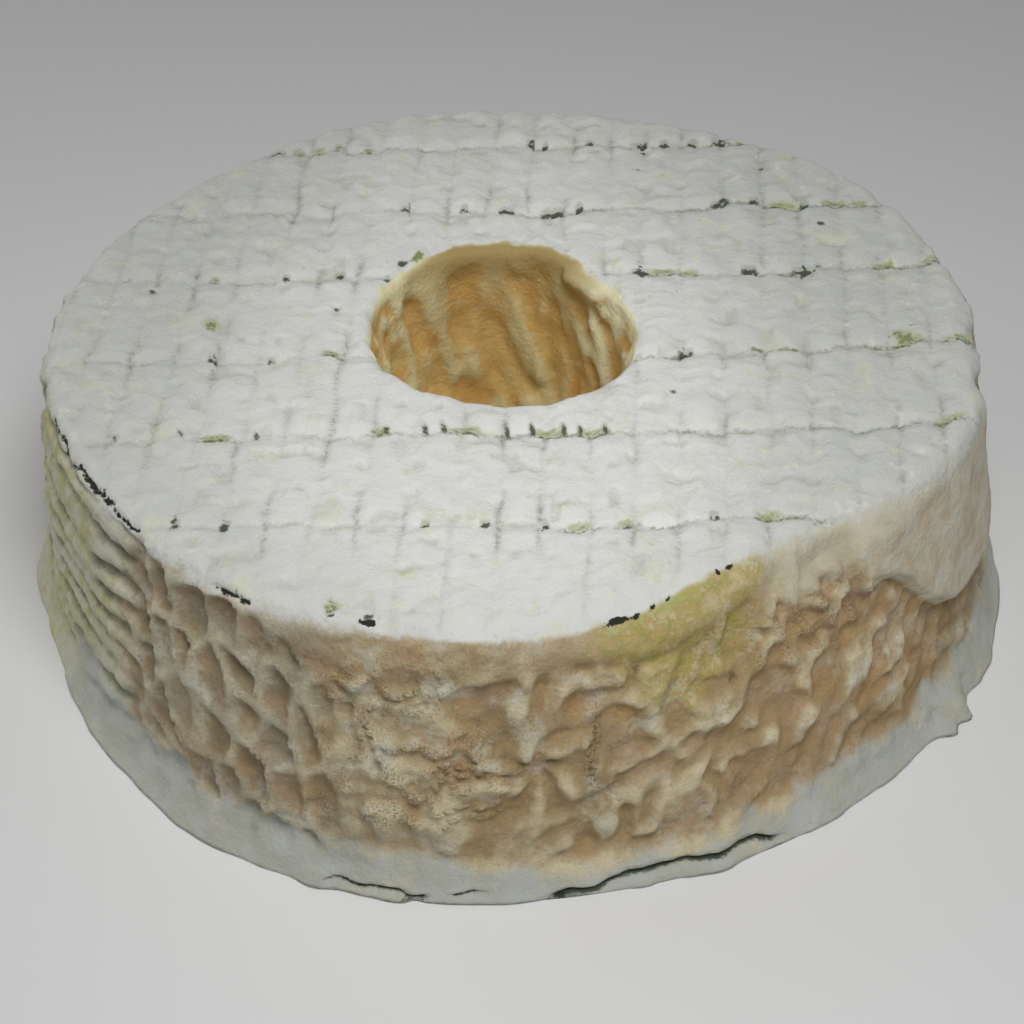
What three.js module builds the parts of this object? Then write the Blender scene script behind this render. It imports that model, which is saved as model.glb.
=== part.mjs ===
// A ripened goat cheese ring: a low round cheese with a hole through its middle. Its upper face carries
// the print of the straw mat it drained on, and its wall has shrunk into pits, folds and a smooth foot.
// Millimetres, +Z up. The origin is the middle of the underside, and the front of the cheese faces -Y.
// Angles run anticlockwise from +X, seen from above, in degrees.
import * as THREE from "three";
import { ConvexHull } from "three/addons/math/ConvexHull.js";

// ---- Driving dimensions: the whole ring

const HEIGHT = 31.6;
const TOP_RADII = [51.6, 52.6, 52.6, 50.0, 48.6, 49.4, 49.9, 49.7, 51.2,
  52.4, 51.9, 51.2, 51.2, 50.3, 48.4, 46.3, 47.6, 50.4];
const BASE_RADII = [57.2, 57.1, 56.5, 55.6, 55.8, 56.2, 56.4, 56.4, 56.2,
  56.4, 55.4, 56.1, 57.6, 56.6, 55.5, 55.6, 56.1, 57.2];
const HOLE_RADII = [14.4, 13.8, 14.0, 14.9, 15.1, 15.0, 14.7, 15.0, 14.3, 14.1, 14.8, 15.1];
const HOLE_CENTRE = { x: -1.2, y: 1.3 };

// The wall leans in from base to top, swells a little half way up and spreads into a thin foot.
const WALL_SWELL = 0.6;
const FOOT_FLARE = 1.8;
const FOOT_REACH = 1.9;
const FOOT_ROUNDING = 0.6;
const UNDERSIDE_LIFT = 0.7;

// The edge between wall and upper face is crisp, but broad where the front right has slumped.
const SHOULDER_SIZE = 2.6;
const SLUMP = { middle: 300, half: 26, fade: 26, size: 3.2 };
const HOLE_EDGE_SIZE = 1.4;

const RIND_COLOUR = 0xcfccbd;
const RIND_ROUGHNESS = 0.85;

// ---- Driving dimensions: the relief

const WALL_RADIUS = 54.6; // where the wall's relief is laid out
const WALL_ROUND = 2 * Math.PI * WALL_RADIUS;
const HOLE_RADIUS = 14.6;
const HOLE_ROUND = 2 * Math.PI * HOLE_RADIUS;

// Pits are bowls between thin ridges. A bowl is deeper towards its right side by its tilt.
const PITS = { wide: 4.1, tall: 6.0, lean: -0.35, border: 2.2, depth: 1.25, tilt: 0.8, seed: 11 };
const HOLLOWS = { wide: 5.2, tall: 7.0, lean: 0.25, border: 3.0, depth: 0.75, tilt: 0.6, seed: 31 };
const HOLE_FOLDS = { wide: 4.6, tall: 15, lean: 0.3, border: 2.4, depth: 1.3, tilt: 0, seed: 51 };
const PIT_LEAST = 0.5; // the shallowest pit against the deepest
const PIT_SCATTER = 0.9;
const TILT_ACROSS = 1.2;
const TILT_UP = 0.5;
const TILT_MOST = 0.6;

// Wrinkles are winding ridges that follow the level lines of soft lumps.
const WRINKLES = { size: 4.4, border: 0.5, depth: 0.5, seed: 101 };
const CRUMPLES = { size: 3.3, border: 0.55, depth: 0.6, seed: 111 };
const WRINKLE_DETAIL = 0.4;
const CRUMPLED_HOLLOWS = 0.55; // what is left of the hollows where the skin is crumpled
const FOLDED_CRUMPLES = 0.4; // what is left of the crumples where it lies in level folds
const LEVEL_FOLDS = { pitch: 3.1, depth: 1.0 };
const FOLD_WANDER = { wide: 1.0, wideSize: 11, small: 0.35, smallSize: 4.5, seed: 7 };
const FOLD_FADE = { least: 0.6, size: 7, seed: 9 };

// The skin has crept, which bends every fold of the wall: how far across and up, and how broad a bend.
const BENDS = [{ across: 1.1, up: 1.3, size: 9, seed: 1 }, { across: 0.8, up: 0.8, size: 3.4, seed: 2 }];
const BROAD_LUMPS = { depth: 0.25, size: 6, seed: 17 };

// Where on the wall each kind lies. Round the back, pits and hollows take turns.
const PIT_ZONE = { middle: 236, half: 14, fade: 10 };
const FOLD_ZONE = { middle: 206, half: 15, fade: 8 };
const CRUMPLE_ZONE = { middle: 257, half: 8, fade: 8 };
const BACK_ZONE = { middle: 80, half: 85, fade: 30 };
const BACK_TURNS = { size: 40, from: -0.1, to: 0.3, seed: 13 };
const CALM_FOOT = { from: 1.5, to: 7 };
const CALM_TOP = { from: 27.5, to: 31 };
const DIMPLE = { angle: 271.5, z: 14.5, radius: 8, core: 2.5, arms: 6, depth: 0.9, flat: 0.6 };
const DIMPLE_TWIST = { most: 1.2, size: 5, seed: 77 };

// A smooth tongue of rind hangs over the wall at the front right.
const TONGUE = { middle: 333, half: 16, fade: 6, proud: 0.8 };
const TONGUE_EDGE = { top: 25, drop: 11, from: 316, to: 332, lip: 1.6, wander: 0.9, size: 5, seed: 41 };
const TONGUE_SMOOTHED = 0.9; // how much of the folds the tongue hides

// The mat's threads press in creases from left to right, and its straws print fine ones from front to back.
const THREADS = [39, 24.5, 11, -4.5, -18.5, -33];
const THREAD = { depth: 0.75, width: 1.0, slope: 0.035, wander: 0.5, size: 7, seed: 61 };
const THREAD_RISE = { from: 20, bend: 0.0015 }; // the threads curve up at their right ends
const THREAD_LEFT = { least: 0.45, from: -25, to: 20, wander: 12, size: 9, seed: 70 }; // fainter on the left
const STRAW = { pitch: 4.6, slope: 0.06, depth: 0.22, width: 0.8, wander: 0.4, size: 8, apart: 9, seed: 62 };
const STRAW_FADE = { least: 0.2, size: 9, seed: 63 };
const PILLOW = 0.12;
const TOP_LUMPS = { depth: 0.25, size: 13, sink: 0.15, seed: 64 };

// The folds of the hole are bent as well, and die out near both ends.
const HOLE_BEND = { across: 0.8, acrossSize: 6, up: 1.5, upSize: 8, seed: 53 };
const HOLE_PROUD = 0.55;
const HOLE_CALM = { foot: 5, top: 5, edge: 1 };

// ---- Driving dimensions: the facets

const WALL_COLUMNS = 192;
const HOLE_COLUMNS = 60;
const WALL_ROWS = 14;
const SHOULDER_ROWS = 3;
const HOLE_ROWS = 6;
const SLIDE_STEPS = [-0.6, -0.3, 0, 0.3, 0.6];
const CREST_DEPTH = 0.4; // a point less deep than this slides up to a crest
const FOOT_ROWS = [FOOT_ROUNDING, 2, 3.8];
const WALL_FOOT = 5.6;
const SHOULDER_GAP = 1; // between the wall's last folded ring and the shoulder
const HOLE_EDGE_SHARES = [0, 0.5, 1];
const BOWL = 50; // how shallow the bowl is that the upper face is joined up on
const TOP_MARGIN = 1.2;
const THREAD_ROWS = [-1.2, 0, 1.2, 3.6, 7.15, 10.7]; // rows of facets from one thread to the next
const FRONT_ROWS = [-4, -7.5, -11]; // and in front of the first thread

// ---- Small helpers

const MIX_COLUMN = 374761393;
const MIX_ROW = 668265263;
const MIX_SEED = 2246822519;
const MIX_FIRST = 1274126177;
const MIX_LAST = 2654435761;
const WORD = 4294967296;

// A fixed random number from 0 to 1 for each cell of a grid.
function draw(column, row, seed) {
  let h = (Math.imul(column, MIX_COLUMN) + Math.imul(row, MIX_ROW) + Math.imul(seed, MIX_SEED)) | 0;
  h = Math.imul(h ^ (h >>> 13), MIX_FIRST);
  h = Math.imul(h ^ (h >>> 16), MIX_LAST);
  return ((h ^ (h >>> 15)) >>> 0) / WORD;
}

const wrap = (value, count) => ((value % count) + count) % count;

function smooth(low, high, value) {
  const t = Math.min(1, Math.max(0, (value - low) / (high - low)));
  return t * t * (3 - 2 * t);
}

const ease = (t) => t * t * t * (t * (6 * t - 15) + 10);

const mix = (a, b, share) => a + (b - a) * share;

const turn = (degrees) => (degrees * Math.PI) / 180;

const apart = (a, b) => wrap(a - b + 180, 360) - 180;

// 1 inside a zone of the wall, 0 outside it, with a soft border.
function inZone(angle, zone) {
  const away = Math.abs(apart(angle, zone.middle));
  return 1 - smooth(zone.half - zone.fade / 2, zone.half + zone.fade / 2, away);
}

// Soft lumps from -1 to 1, a given size across. With a length round, they close on themselves along x.
function lumps(x, y, size, seed, round) {
  const count = round ? Math.max(1, Math.round(round / size)) : 0;
  const u = round ? (x * count) / round : x / size;
  const v = y / size;
  const i = Math.floor(u);
  const j = Math.floor(v);
  const at = (column, row) => draw(round ? wrap(column, count) : column, row, seed);
  const fu = ease(u - i);
  const fv = ease(v - j);
  const lower = at(i, j) * (1 - fu) + at(i + 1, j) * fu;
  const upper = at(i, j + 1) * (1 - fu) + at(i + 1, j + 1) * fu;
  return 2 * (lower * (1 - fv) + upper * fv) - 1;
}

// The depth of irregular pits with thin ridges between them, laid out in leaning rows round the ring.
function pitDepth(x, y, kind, round) {
  const count = Math.round(round / kind.wide);
  const wide = round / count;
  const v = y / kind.tall;
  const u = x / wide - kind.lean * v;
  const i = Math.floor(u);
  const j = Math.floor(v);
  let nearest = Infinity;
  let second = Infinity;
  let size = 0;
  let aside = 0;
  for (let row = j - 1; row <= j + 1; row += 1) {
    for (let column = i - 2; column <= i + 2; column += 1) {
      const place = wrap(column, count);
      const middleU = column + 0.5 + PIT_SCATTER * (draw(place, row, kind.seed) - 0.5) + wrap(row, 2) / 2;
      const middleV = row + 0.5 + PIT_SCATTER * (draw(place, row, kind.seed + 1) - 0.5);
      const distance = wide * Math.hypot(middleU - u, middleV - v);
      if (distance < nearest) {
        second = nearest;
        nearest = distance;
        size = draw(place, row, kind.seed + 2);
        aside = TILT_ACROSS * (u - middleU) + TILT_UP * (v - middleV);
      } else if (distance < second) {
        second = distance;
      }
    }
  }
  const deep = kind.depth * (PIT_LEAST + (1 - PIT_LEAST) * size);
  const tilted = 1 + kind.tilt * Math.min(TILT_MOST, Math.max(-TILT_MOST, aside));
  return deep * tilted * smooth(0, kind.border, second - nearest);
}

// The depth of wrinkles, from 0 on the winding ridge where soft lumps pass through their middle level.
function wrinkleDepth(x, y, kind) {
  const broad = lumps(x, y, kind.size, kind.seed, WALL_ROUND);
  const level = broad + WRINKLE_DETAIL * lumps(x, y, kind.size / 2, kind.seed + 1, WALL_ROUND);
  return kind.depth * smooth(0, kind.border, Math.abs(level));
}

// A radius read off a table of equal steps round the ring, with a smooth curve between its values.
function radiusAt(table, angle) {
  const step = wrap(angle, 360) / (360 / table.length);
  const first = Math.floor(step);
  const t = step - first;
  const [a, b, c, d] = [-1, 0, 1, 2].map((k) => table[wrap(first + k, table.length)]);
  return b + 0.5 * t * (c - a + t * (2 * a - 5 * b + 4 * c - d + t * (3 * (b - c) + d - a)));
}

// ---- The relief of each surface, in millimetres out of it

// Where a place on the wall lay before the skin crept.
function unbent(x, z) {
  const before = { x, z };
  for (const bend of BENDS) {
    before.x += bend.across * lumps(x, z, bend.size, bend.seed, WALL_ROUND);
    before.z += bend.up * lumps(x, z, bend.size, bend.seed + 2, WALL_ROUND);
  }
  return before;
}

// The folds give way to a dimple with arms like a star. It returns the folds' share and its own depth.
function starDimple(angle, x, z, before) {
  const across = turn(apart(angle, DIMPLE.angle)) * WALL_RADIUS + before.x - x;
  const up = before.z - DIMPLE.z;
  const away = Math.hypot(across, up);
  const twist = DIMPLE_TWIST.most * lumps(x, z, DIMPLE_TWIST.size, DIMPLE_TWIST.seed, WALL_ROUND);
  const arms = 0.5 - 0.5 * Math.cos(DIMPLE.arms * Math.atan2(up, across) + twist);
  const near = 1 - smooth(DIMPLE.radius / 2, DIMPLE.radius, away);
  const star = DIMPLE.depth * (1 - smooth(0, DIMPLE.core, away) * arms);
  return { folds: 1 - DIMPLE.flat * near, depth: near * star };
}

// 1 on the hanging tongue of rind, 0 off it.
function onTongue(angle, z) {
  const { top, drop, from, to, lip, wander, size, seed } = TONGUE_EDGE;
  const wavy = wander * lumps(turn(angle) * WALL_RADIUS, 0, size, seed, WALL_ROUND);
  const edge = top - drop * smooth(from, to, wrap(angle, 360)) + wavy;
  return inZone(angle, TONGUE) * smooth(edge - lip / 2, edge + lip / 2, z);
}

function levelFoldDepth(x, z) {
  const wide = FOLD_WANDER.wide * lumps(x, 2 * z, FOLD_WANDER.wideSize, FOLD_WANDER.seed, WALL_ROUND);
  const small = FOLD_WANDER.small * lumps(x, z, FOLD_WANDER.smallSize, FOLD_WANDER.seed + 1, WALL_ROUND);
  const wave = Math.cos((2 * Math.PI * (z + wide + small)) / LEVEL_FOLDS.pitch);
  const fade = mix(FOLD_FADE.least, 1, 0.5 + 0.5 * lumps(x, z, FOLD_FADE.size, FOLD_FADE.seed, WALL_ROUND));
  return LEVEL_FOLDS.depth * fade * (0.5 - 0.5 * wave);
}

// The depth of everything that sinks into the wall: each zone has its own kind of fold.
function wallDepth(angle, x, z) {
  const before = unbent(x, z);
  const turns = lumps(x, 0, BACK_TURNS.size, BACK_TURNS.seed, WALL_ROUND);
  const backPits = inZone(angle, BACK_ZONE) * smooth(BACK_TURNS.from, BACK_TURNS.to, turns);
  const pits = Math.max(inZone(angle, PIT_ZONE), backPits);
  const crumpled = inZone(angle, CRUMPLE_ZONE);
  const crumples = wrinkleDepth(before.x, before.z, CRUMPLES);
  const hollows = pitDepth(before.x, before.z, HOLLOWS, WALL_ROUND) * mix(1, CRUMPLED_HOLLOWS, crumpled);
  const wrinkles = mix(wrinkleDepth(before.x, before.z, WRINKLES), crumples, crumpled);
  const rough = mix(hollows + wrinkles, pitDepth(before.x, before.z, PITS, WALL_ROUND), pits);
  const folded = mix(rough, levelFoldDepth(x, z) + FOLDED_CRUMPLES * crumples, inZone(angle, FOLD_ZONE));
  const dimple = starDimple(angle, x, z, before);
  return folded * dimple.folds + dimple.depth;
}

function wallRelief(angle, z) {
  const x = turn(wrap(angle, 360)) * WALL_RADIUS;
  const tongue = onTongue(angle, z);
  const calm = smooth(CALM_FOOT.from, CALM_FOOT.to, z) * (1 - smooth(CALM_TOP.from, CALM_TOP.to, z));
  const broad = BROAD_LUMPS.depth * lumps(x, z, BROAD_LUMPS.size, BROAD_LUMPS.seed, WALL_ROUND);
  return TONGUE.proud * tongue - wallDepth(angle, x, z) * calm * (1 - TONGUE_SMOOTHED * tongue) + broad;
}

function threadLine(y0, x) {
  const rise = THREAD.slope * x + THREAD_RISE.bend * Math.max(0, x - THREAD_RISE.from) ** 2;
  return y0 + rise + THREAD.wander * lumps(x, y0, THREAD.size, THREAD.seed);
}

function strawLine(index, y) {
  const wander = STRAW.wander * lumps(index * STRAW.apart, y, STRAW.size, STRAW.seed);
  return index * STRAW.pitch + STRAW.slope * y + wander;
}

const groove = (away, width) => Math.exp(-((away / width) ** 2));

function topRelief(x, y) {
  const threads = THREADS.map((y0, k) => {
    const moved = x + THREAD_LEFT.wander * lumps(x, 0, THREAD_LEFT.size, THREAD_LEFT.seed + k);
    const strength = mix(THREAD_LEFT.least, 1, smooth(THREAD_LEFT.from, THREAD_LEFT.to, moved));
    return strength * groove(y - threadLine(y0, x), THREAD.width);
  });
  const thread = Math.max(...threads);
  const middle = Math.round((x - STRAW.slope * y) / STRAW.pitch);
  const near = [middle - 1, middle, middle + 1];
  const straws = near.map((index) => groove(x - strawLine(index, y), STRAW.width));
  const faded = 0.5 + 0.5 * lumps(x, y, STRAW_FADE.size, STRAW_FADE.seed);
  const straw = Math.max(...straws) * mix(STRAW_FADE.least, 1, faded);
  const crown = PILLOW * (1 - thread) * (1 - straw);
  const broad = TOP_LUMPS.depth * lumps(x, y, TOP_LUMPS.size, TOP_LUMPS.seed) - TOP_LUMPS.sink;
  return crown - THREAD.depth * thread - STRAW.depth * straw + broad;
}

function holeRelief(angle, z) {
  const x = turn(wrap(angle, 360)) * HOLE_RADIUS;
  const across = x + HOLE_BEND.across * lumps(x, z, HOLE_BEND.acrossSize, HOLE_BEND.seed, HOLE_ROUND);
  const up = z + HOLE_BEND.up * lumps(x, z, HOLE_BEND.upSize, HOLE_BEND.seed + 1, HOLE_ROUND);
  const calmTop = 1 - smooth(HEIGHT - HOLE_CALM.top, HEIGHT - HOLE_CALM.edge, z);
  const calm = smooth(0, HOLE_CALM.foot, z) * calmTop;
  return (HOLE_FOLDS.depth * HOLE_PROUD - pitDepth(across, up, HOLE_FOLDS, HOLE_ROUND)) * calm;
}

// ---- The section at each angle

const shoulderSize = (angle) => SHOULDER_SIZE + SLUMP.size * inZone(angle, SLUMP);

// The wall's radius before its relief, at a height between the underside and the shoulder.
function wallRadius(angle, z) {
  const base = radiusAt(BASE_RADII, angle) - FOOT_FLARE;
  const share = z / HEIGHT;
  const straight = base + (radiusAt(TOP_RADII, angle) - base) * share;
  return straight + WALL_SWELL * Math.sin(Math.PI * share) + FOOT_FLARE * Math.exp(-z / FOOT_REACH);
}

function wallPoint(angle, z) {
  const radius = wallRadius(angle, z) + wallRelief(angle, z) * smooth(0, CALM_FOOT.from, z);
  return new THREE.Vector3(radius * Math.cos(turn(angle)), radius * Math.sin(turn(angle)), z);
}

// The shoulder bends from the wall, at share 0, to the upper face, at share 1.
function shoulderPoint(angle, share) {
  const size = shoulderSize(angle);
  const start = HEIGHT - size;
  const bend = (share * Math.PI) / 2;
  const wall = wallRadius(angle, start) + wallRelief(angle, start) * (1 - share);
  const radius = wall - size * (1 - Math.cos(bend));
  const point = new THREE.Vector3(radius * Math.cos(turn(angle)), radius * Math.sin(turn(angle)), 0);
  point.z = start + size * Math.sin(bend) + topRelief(point.x, point.y) * share;
  return point;
}

function holePoint(angle, radius, z) {
  const x = HOLE_CENTRE.x + radius * Math.cos(turn(angle));
  const y = HOLE_CENTRE.y + radius * Math.sin(turn(angle));
  return new THREE.Vector3(x, y, z);
}

// The rounded edge of the hole, from the upper face at share 0 to its upright wall at share 1.
function holeEdgePoint(angle, share) {
  const bend = (share * Math.PI) / 2;
  const radius = radiusAt(HOLE_RADII, angle) + HOLE_EDGE_SIZE * (1 - Math.sin(bend));
  const point = holePoint(angle, radius, 0);
  const drop = HOLE_EDGE_SIZE * (1 - Math.cos(bend));
  point.z = HEIGHT - drop + topRelief(point.x, point.y) * (1 - share);
  return point;
}

const holeWallPoint = (angle, z) => holePoint(angle, radiusAt(HOLE_RADII, angle) - holeRelief(angle, z), z);

// ---- The facets

const points = [];
const facets = [];

function addPoint(point) {
  points.push(point);
  return points.length - 1;
}

// A ring of points, turned by half a step or not at all.
function addRing(columns, half, make) {
  const ring = [];
  for (let column = 0; column < columns; column += 1) {
    const angle = ((column + half / 2) * 360) / columns;
    ring.push({ angle, index: addPoint(make(angle)) });
  }
  return ring;
}

// A band of triangles between two rings. Seen from outside, the second ring lies above the first.
function joinRings(first, second) {
  let a = 0;
  let b = 0;
  const angleOf = (ring, k) => ring[k % ring.length].angle + 360 * Math.floor(k / ring.length);
  while (a < first.length || b < second.length) {
    const here = first[a % first.length].index;
    const there = second[b % second.length].index;
    const stepFirst = b >= second.length
      || (a < first.length && angleOf(first, a + 1) <= angleOf(second, b + 1));
    if (stepFirst) {
      a += 1;
      facets.push(here, first[a % first.length].index, there);
    } else {
      b += 1;
      facets.push(here, second[b % second.length].index, there);
    }
  }
}

// A wall point slides a little to the nearest crest or floor of the folds, so that few facets hold them.
function foldedWallPoint(angle, z) {
  const here = wallRelief(angle, z);
  const seekCrest = here > -CREST_DEPTH ? 1 : -1;
  let best = { angle, z, value: here * seekCrest };
  for (const across of SLIDE_STEPS) {
    for (const up of SLIDE_STEPS) {
      const tryAngle = angle + (across * 360) / WALL_ROUND;
      const value = wallRelief(tryAngle, z + up) * seekCrest;
      if (value > best.value) best = { angle: tryAngle, z: z + up, value };
    }
  }
  return wallPoint(best.angle, best.z);
}

// A band of squares between two rings of the wall. Each square is cut along the diagonal that lies nearer to
// the true wall, so the cuts run along the ridges.
function joinSquares(first, second) {
  for (let k = 0; k < first.length; k += 1) {
    const after = (k + 1) % first.length;
    const [a, b, c, d] = [first[k], first[after], second[after], second[k]].map(({ index }) => index);
    const middle = new THREE.Vector3();
    for (const corner of [a, b, c, d]) middle.addScaledVector(points[corner], 1 / 4);
    const wall = wallPoint((Math.atan2(middle.y, middle.x) * 180) / Math.PI, middle.z);
    const miss = (p, q) => points[p].clone().add(points[q]).divideScalar(2).distanceTo(wall);
    facets.push(...(miss(a, c) < miss(b, d) ? [a, b, c, a, c, d] : [a, b, d, b, c, d]));
  }
}

// The rings of the wall and shoulder, from the underside up.
function outerRings() {
  const foot = [
    (angle) => {
      const radius = wallRadius(angle, 0) - FOOT_ROUNDING;
      return new THREE.Vector3(radius * Math.cos(turn(angle)), radius * Math.sin(turn(angle)), 0);
    },
    ...FOOT_ROWS.map((z) => (angle) => wallPoint(angle, z)),
  ];
  const wall = Array.from({ length: WALL_ROWS }, (_, row) => (angle) => {
    const top = HEIGHT - shoulderSize(angle) - SHOULDER_GAP;
    return foldedWallPoint(angle, mix(WALL_FOOT, top, row / (WALL_ROWS - 1)));
  });
  const shoulder = Array.from({ length: SHOULDER_ROWS }, (_, row) => (angle) =>
    shoulderPoint(angle, (row + 1) / SHOULDER_ROWS));
  return [...foot, ...wall, ...shoulder].map((make) => addRing(WALL_COLUMNS, 0, make));
}

// The rings of the hole, from the upper face down to the underside.
function holeRings() {
  const edge = HOLE_EDGE_SHARES.map((share) => (angle) => holeEdgePoint(angle, share));
  const wall = Array.from({ length: HOLE_ROWS }, (_, row) => (angle) => {
    const high = HEIGHT - HOLE_EDGE_SIZE;
    return holeWallPoint(angle, mix(high, UNDERSIDE_LIFT, (row + 1) / HOLE_ROWS));
  });
  const under = (angle) => holePoint(angle, radiusAt(HOLE_RADII, angle) + UNDERSIDE_LIFT, 0);
  return [...edge, ...wall, under].map((make, k) => addRing(HOLE_COLUMNS, k % 2, make));
}

// Whether a place on the upper face is inside a ring of points, seen from above.
function isInside(ring, x, y) {
  let inside = false;
  for (let k = 0; k < ring.length; k += 1) {
    const a = points[ring[k].index];
    const b = points[ring[(k + 1) % ring.length].index];
    if (a.y > y !== b.y > y && x < a.x + ((b.x - a.x) * (y - a.y)) / (b.y - a.y)) inside = !inside;
  }
  return inside;
}

const onTop = (x, y, outer, inner) => isInside(outer, x, y) && !isInside(inner, x, y);

const isClear = (x, y, ring) => ring.every(({ index }) =>
  Math.hypot(points[index].x - x, points[index].y - y) > TOP_MARGIN);

// The points of the upper face lie on the mat's creases and on the pillows between them.
function topPoints(outer, inner) {
  const most = Math.ceil(Math.max(...TOP_RADII) / STRAW.pitch);
  const rows = THREADS.flatMap((y0) => THREAD_ROWS.map((step) => ({ y0, step })));
  const front = FRONT_ROWS.map((step) => ({ y0: THREADS.at(-1), step }));
  const found = [];
  for (const { y0, step } of [...rows, ...front]) {
    for (let half = -2 * most; half <= 2 * most; half += 1) {
      const guess = threadLine(y0, (half * STRAW.pitch) / 2) + step;
      const x = (strawLine(Math.floor(half / 2), guess) + strawLine(Math.ceil(half / 2), guess)) / 2;
      const y = threadLine(y0, x) + step;
      if (onTop(x, y, outer, inner) && isClear(x, y, outer) && isClear(x, y, inner)) {
        found.push(new THREE.Vector3(x, y, HEIGHT + topRelief(x, y)));
      }
    }
  }
  return found;
}

// The upper face is joined up so that each triangle's circle is empty: lifted onto a bowl, its points have
// those triangles as the underside of their convex hull.
function joinTop(outer, inner) {
  const rim = [...outer, ...inner].map(({ index }) => index);
  const all = [...rim, ...topPoints(outer, inner).map(addPoint)];
  const lifted = new Map(all.map((index) => {
    const { x, y } = points[index];
    return [new THREE.Vector3(x, y, (x * x + y * y) / BOWL), index];
  }));
  const hull = new ConvexHull().setFromPoints([...lifted.keys()]);
  for (const face of hull.faces) {
    const corners = [face.edge.tail().point, face.edge.head().point, face.edge.next.head().point];
    const x = (corners[0].x + corners[1].x + corners[2].x) / 3;
    const y = (corners[0].y + corners[1].y + corners[2].y) / 3;
    if (face.normal.z < 0 && onTop(x, y, outer, inner)) {
      facets.push(...corners.map((corner) => lifted.get(corner)).reverse());
    }
  }
}

function ringGeometry() {
  const outer = outerRings();
  const inner = holeRings();
  for (let k = 1; k < outer.length; k += 1) joinSquares(outer[k - 1], outer[k]);
  for (let k = 1; k < inner.length; k += 1) joinRings(inner[k - 1], inner[k]);
  joinRings(inner.at(-1), outer[0]);
  joinTop(outer.at(-1), inner[0]);
  const geometry = new THREE.BufferGeometry();
  geometry.setAttribute("position", new THREE.Float32BufferAttribute(points.flatMap((p) => p.toArray()), 3));
  geometry.setIndex(facets);
  geometry.computeVertexNormals();
  return geometry;
}

// ---- The cheese

const rind = new THREE.MeshStandardMaterial({ color: RIND_COLOUR, roughness: RIND_ROUGHNESS, metalness: 0 });
const cheese = new THREE.Mesh(ringGeometry(), rind);
cheese.name = "cheese_ring";

const part = new THREE.Group();
part.add(cheese);

export default part;
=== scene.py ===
# %% [markdown]
# # A ripened goat cheese ring
#
# A low round cheese with a hole through its middle. It drained on a mat of straws tied with thread, which
# printed its upper face with creases, and its wall shrank into pits and folds as it ripened. This lesson grows
# the real skin over the solid model: one closed mesh with true relief, and one procedural rind.

# %% The imported solid is loaded first
import math

import bpy
import numpy as np
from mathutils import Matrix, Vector


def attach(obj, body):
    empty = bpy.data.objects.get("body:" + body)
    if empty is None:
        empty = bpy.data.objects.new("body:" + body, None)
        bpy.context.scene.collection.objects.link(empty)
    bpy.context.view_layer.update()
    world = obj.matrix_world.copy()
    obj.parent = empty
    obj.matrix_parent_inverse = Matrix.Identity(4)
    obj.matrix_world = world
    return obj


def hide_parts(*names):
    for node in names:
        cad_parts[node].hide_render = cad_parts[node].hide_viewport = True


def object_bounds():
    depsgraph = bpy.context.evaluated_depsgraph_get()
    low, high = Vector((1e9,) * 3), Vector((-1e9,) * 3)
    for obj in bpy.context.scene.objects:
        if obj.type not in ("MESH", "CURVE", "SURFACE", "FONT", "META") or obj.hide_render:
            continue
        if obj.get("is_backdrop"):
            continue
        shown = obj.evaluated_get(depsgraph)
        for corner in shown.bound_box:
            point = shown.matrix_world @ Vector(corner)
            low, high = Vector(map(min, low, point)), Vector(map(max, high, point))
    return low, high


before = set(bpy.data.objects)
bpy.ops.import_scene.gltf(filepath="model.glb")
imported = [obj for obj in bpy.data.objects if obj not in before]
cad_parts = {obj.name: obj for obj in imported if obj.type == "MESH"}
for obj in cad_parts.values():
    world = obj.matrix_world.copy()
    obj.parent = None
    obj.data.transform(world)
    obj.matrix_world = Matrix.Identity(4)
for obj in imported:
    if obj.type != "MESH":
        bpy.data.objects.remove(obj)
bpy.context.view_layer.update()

# %% [markdown]
# ## The driving sizes
#
# A cheese maker would measure the height, the radius every 20 degrees along the top and the foot, and the
# hole. Curves between those few measures give the outline. They are the measures that the solid was built
# from, in millimetres; the mesh turns to metres last.

# %% Sizes of the ring
MM = 0.001
HEIGHT = 31.6
TOP_RADII = [51.6, 52.6, 52.6, 50.0, 48.6, 49.4, 49.9, 49.7, 51.2, 52.4, 51.9, 51.2, 51.2, 50.3, 48.4, 46.3,
             47.6, 50.4]
BASE_RADII = [57.2, 57.1, 56.5, 55.6, 55.8, 56.2, 56.4, 56.4, 56.2, 56.4, 55.4, 56.1, 57.6, 56.6, 55.5, 55.6,
              56.1, 57.2]
HOLE_RADII = [14.4, 13.8, 14.0, 14.9, 15.1, 15.0, 14.7, 15.0, 14.3, 14.1, 14.8, 15.1]
HOLE_X, HOLE_Y = -1.2, 1.3
WALL_SWELL = 0.6
FOOT_FLARE, FOOT_REACH, FOOT_ROUNDING = 1.8, 1.9, 0.6
SHOULDER_SIZE = 2.6
HOLE_EDGE_SIZE = 1.4
WALL_RADIUS = 54.6
WALL_ROUND = 2 * math.pi * WALL_RADIUS
HOLE_ROUND = 2 * math.pi * 14.6
print("tall", HEIGHT, "foot", min(BASE_RADII), "to", max(BASE_RADII), "mm in radius")

# %% [markdown]
# ## Chance that repeats
#
# No two pits of a rind are alike, yet the model has to come out the same each time. So each cell of a grid
# draws its own number from its column, row and a seed. Soft lumps are that grid smoothed, and pits are cells
# round scattered middles: the thin ridge between two pits is where both middles are as near.

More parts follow.
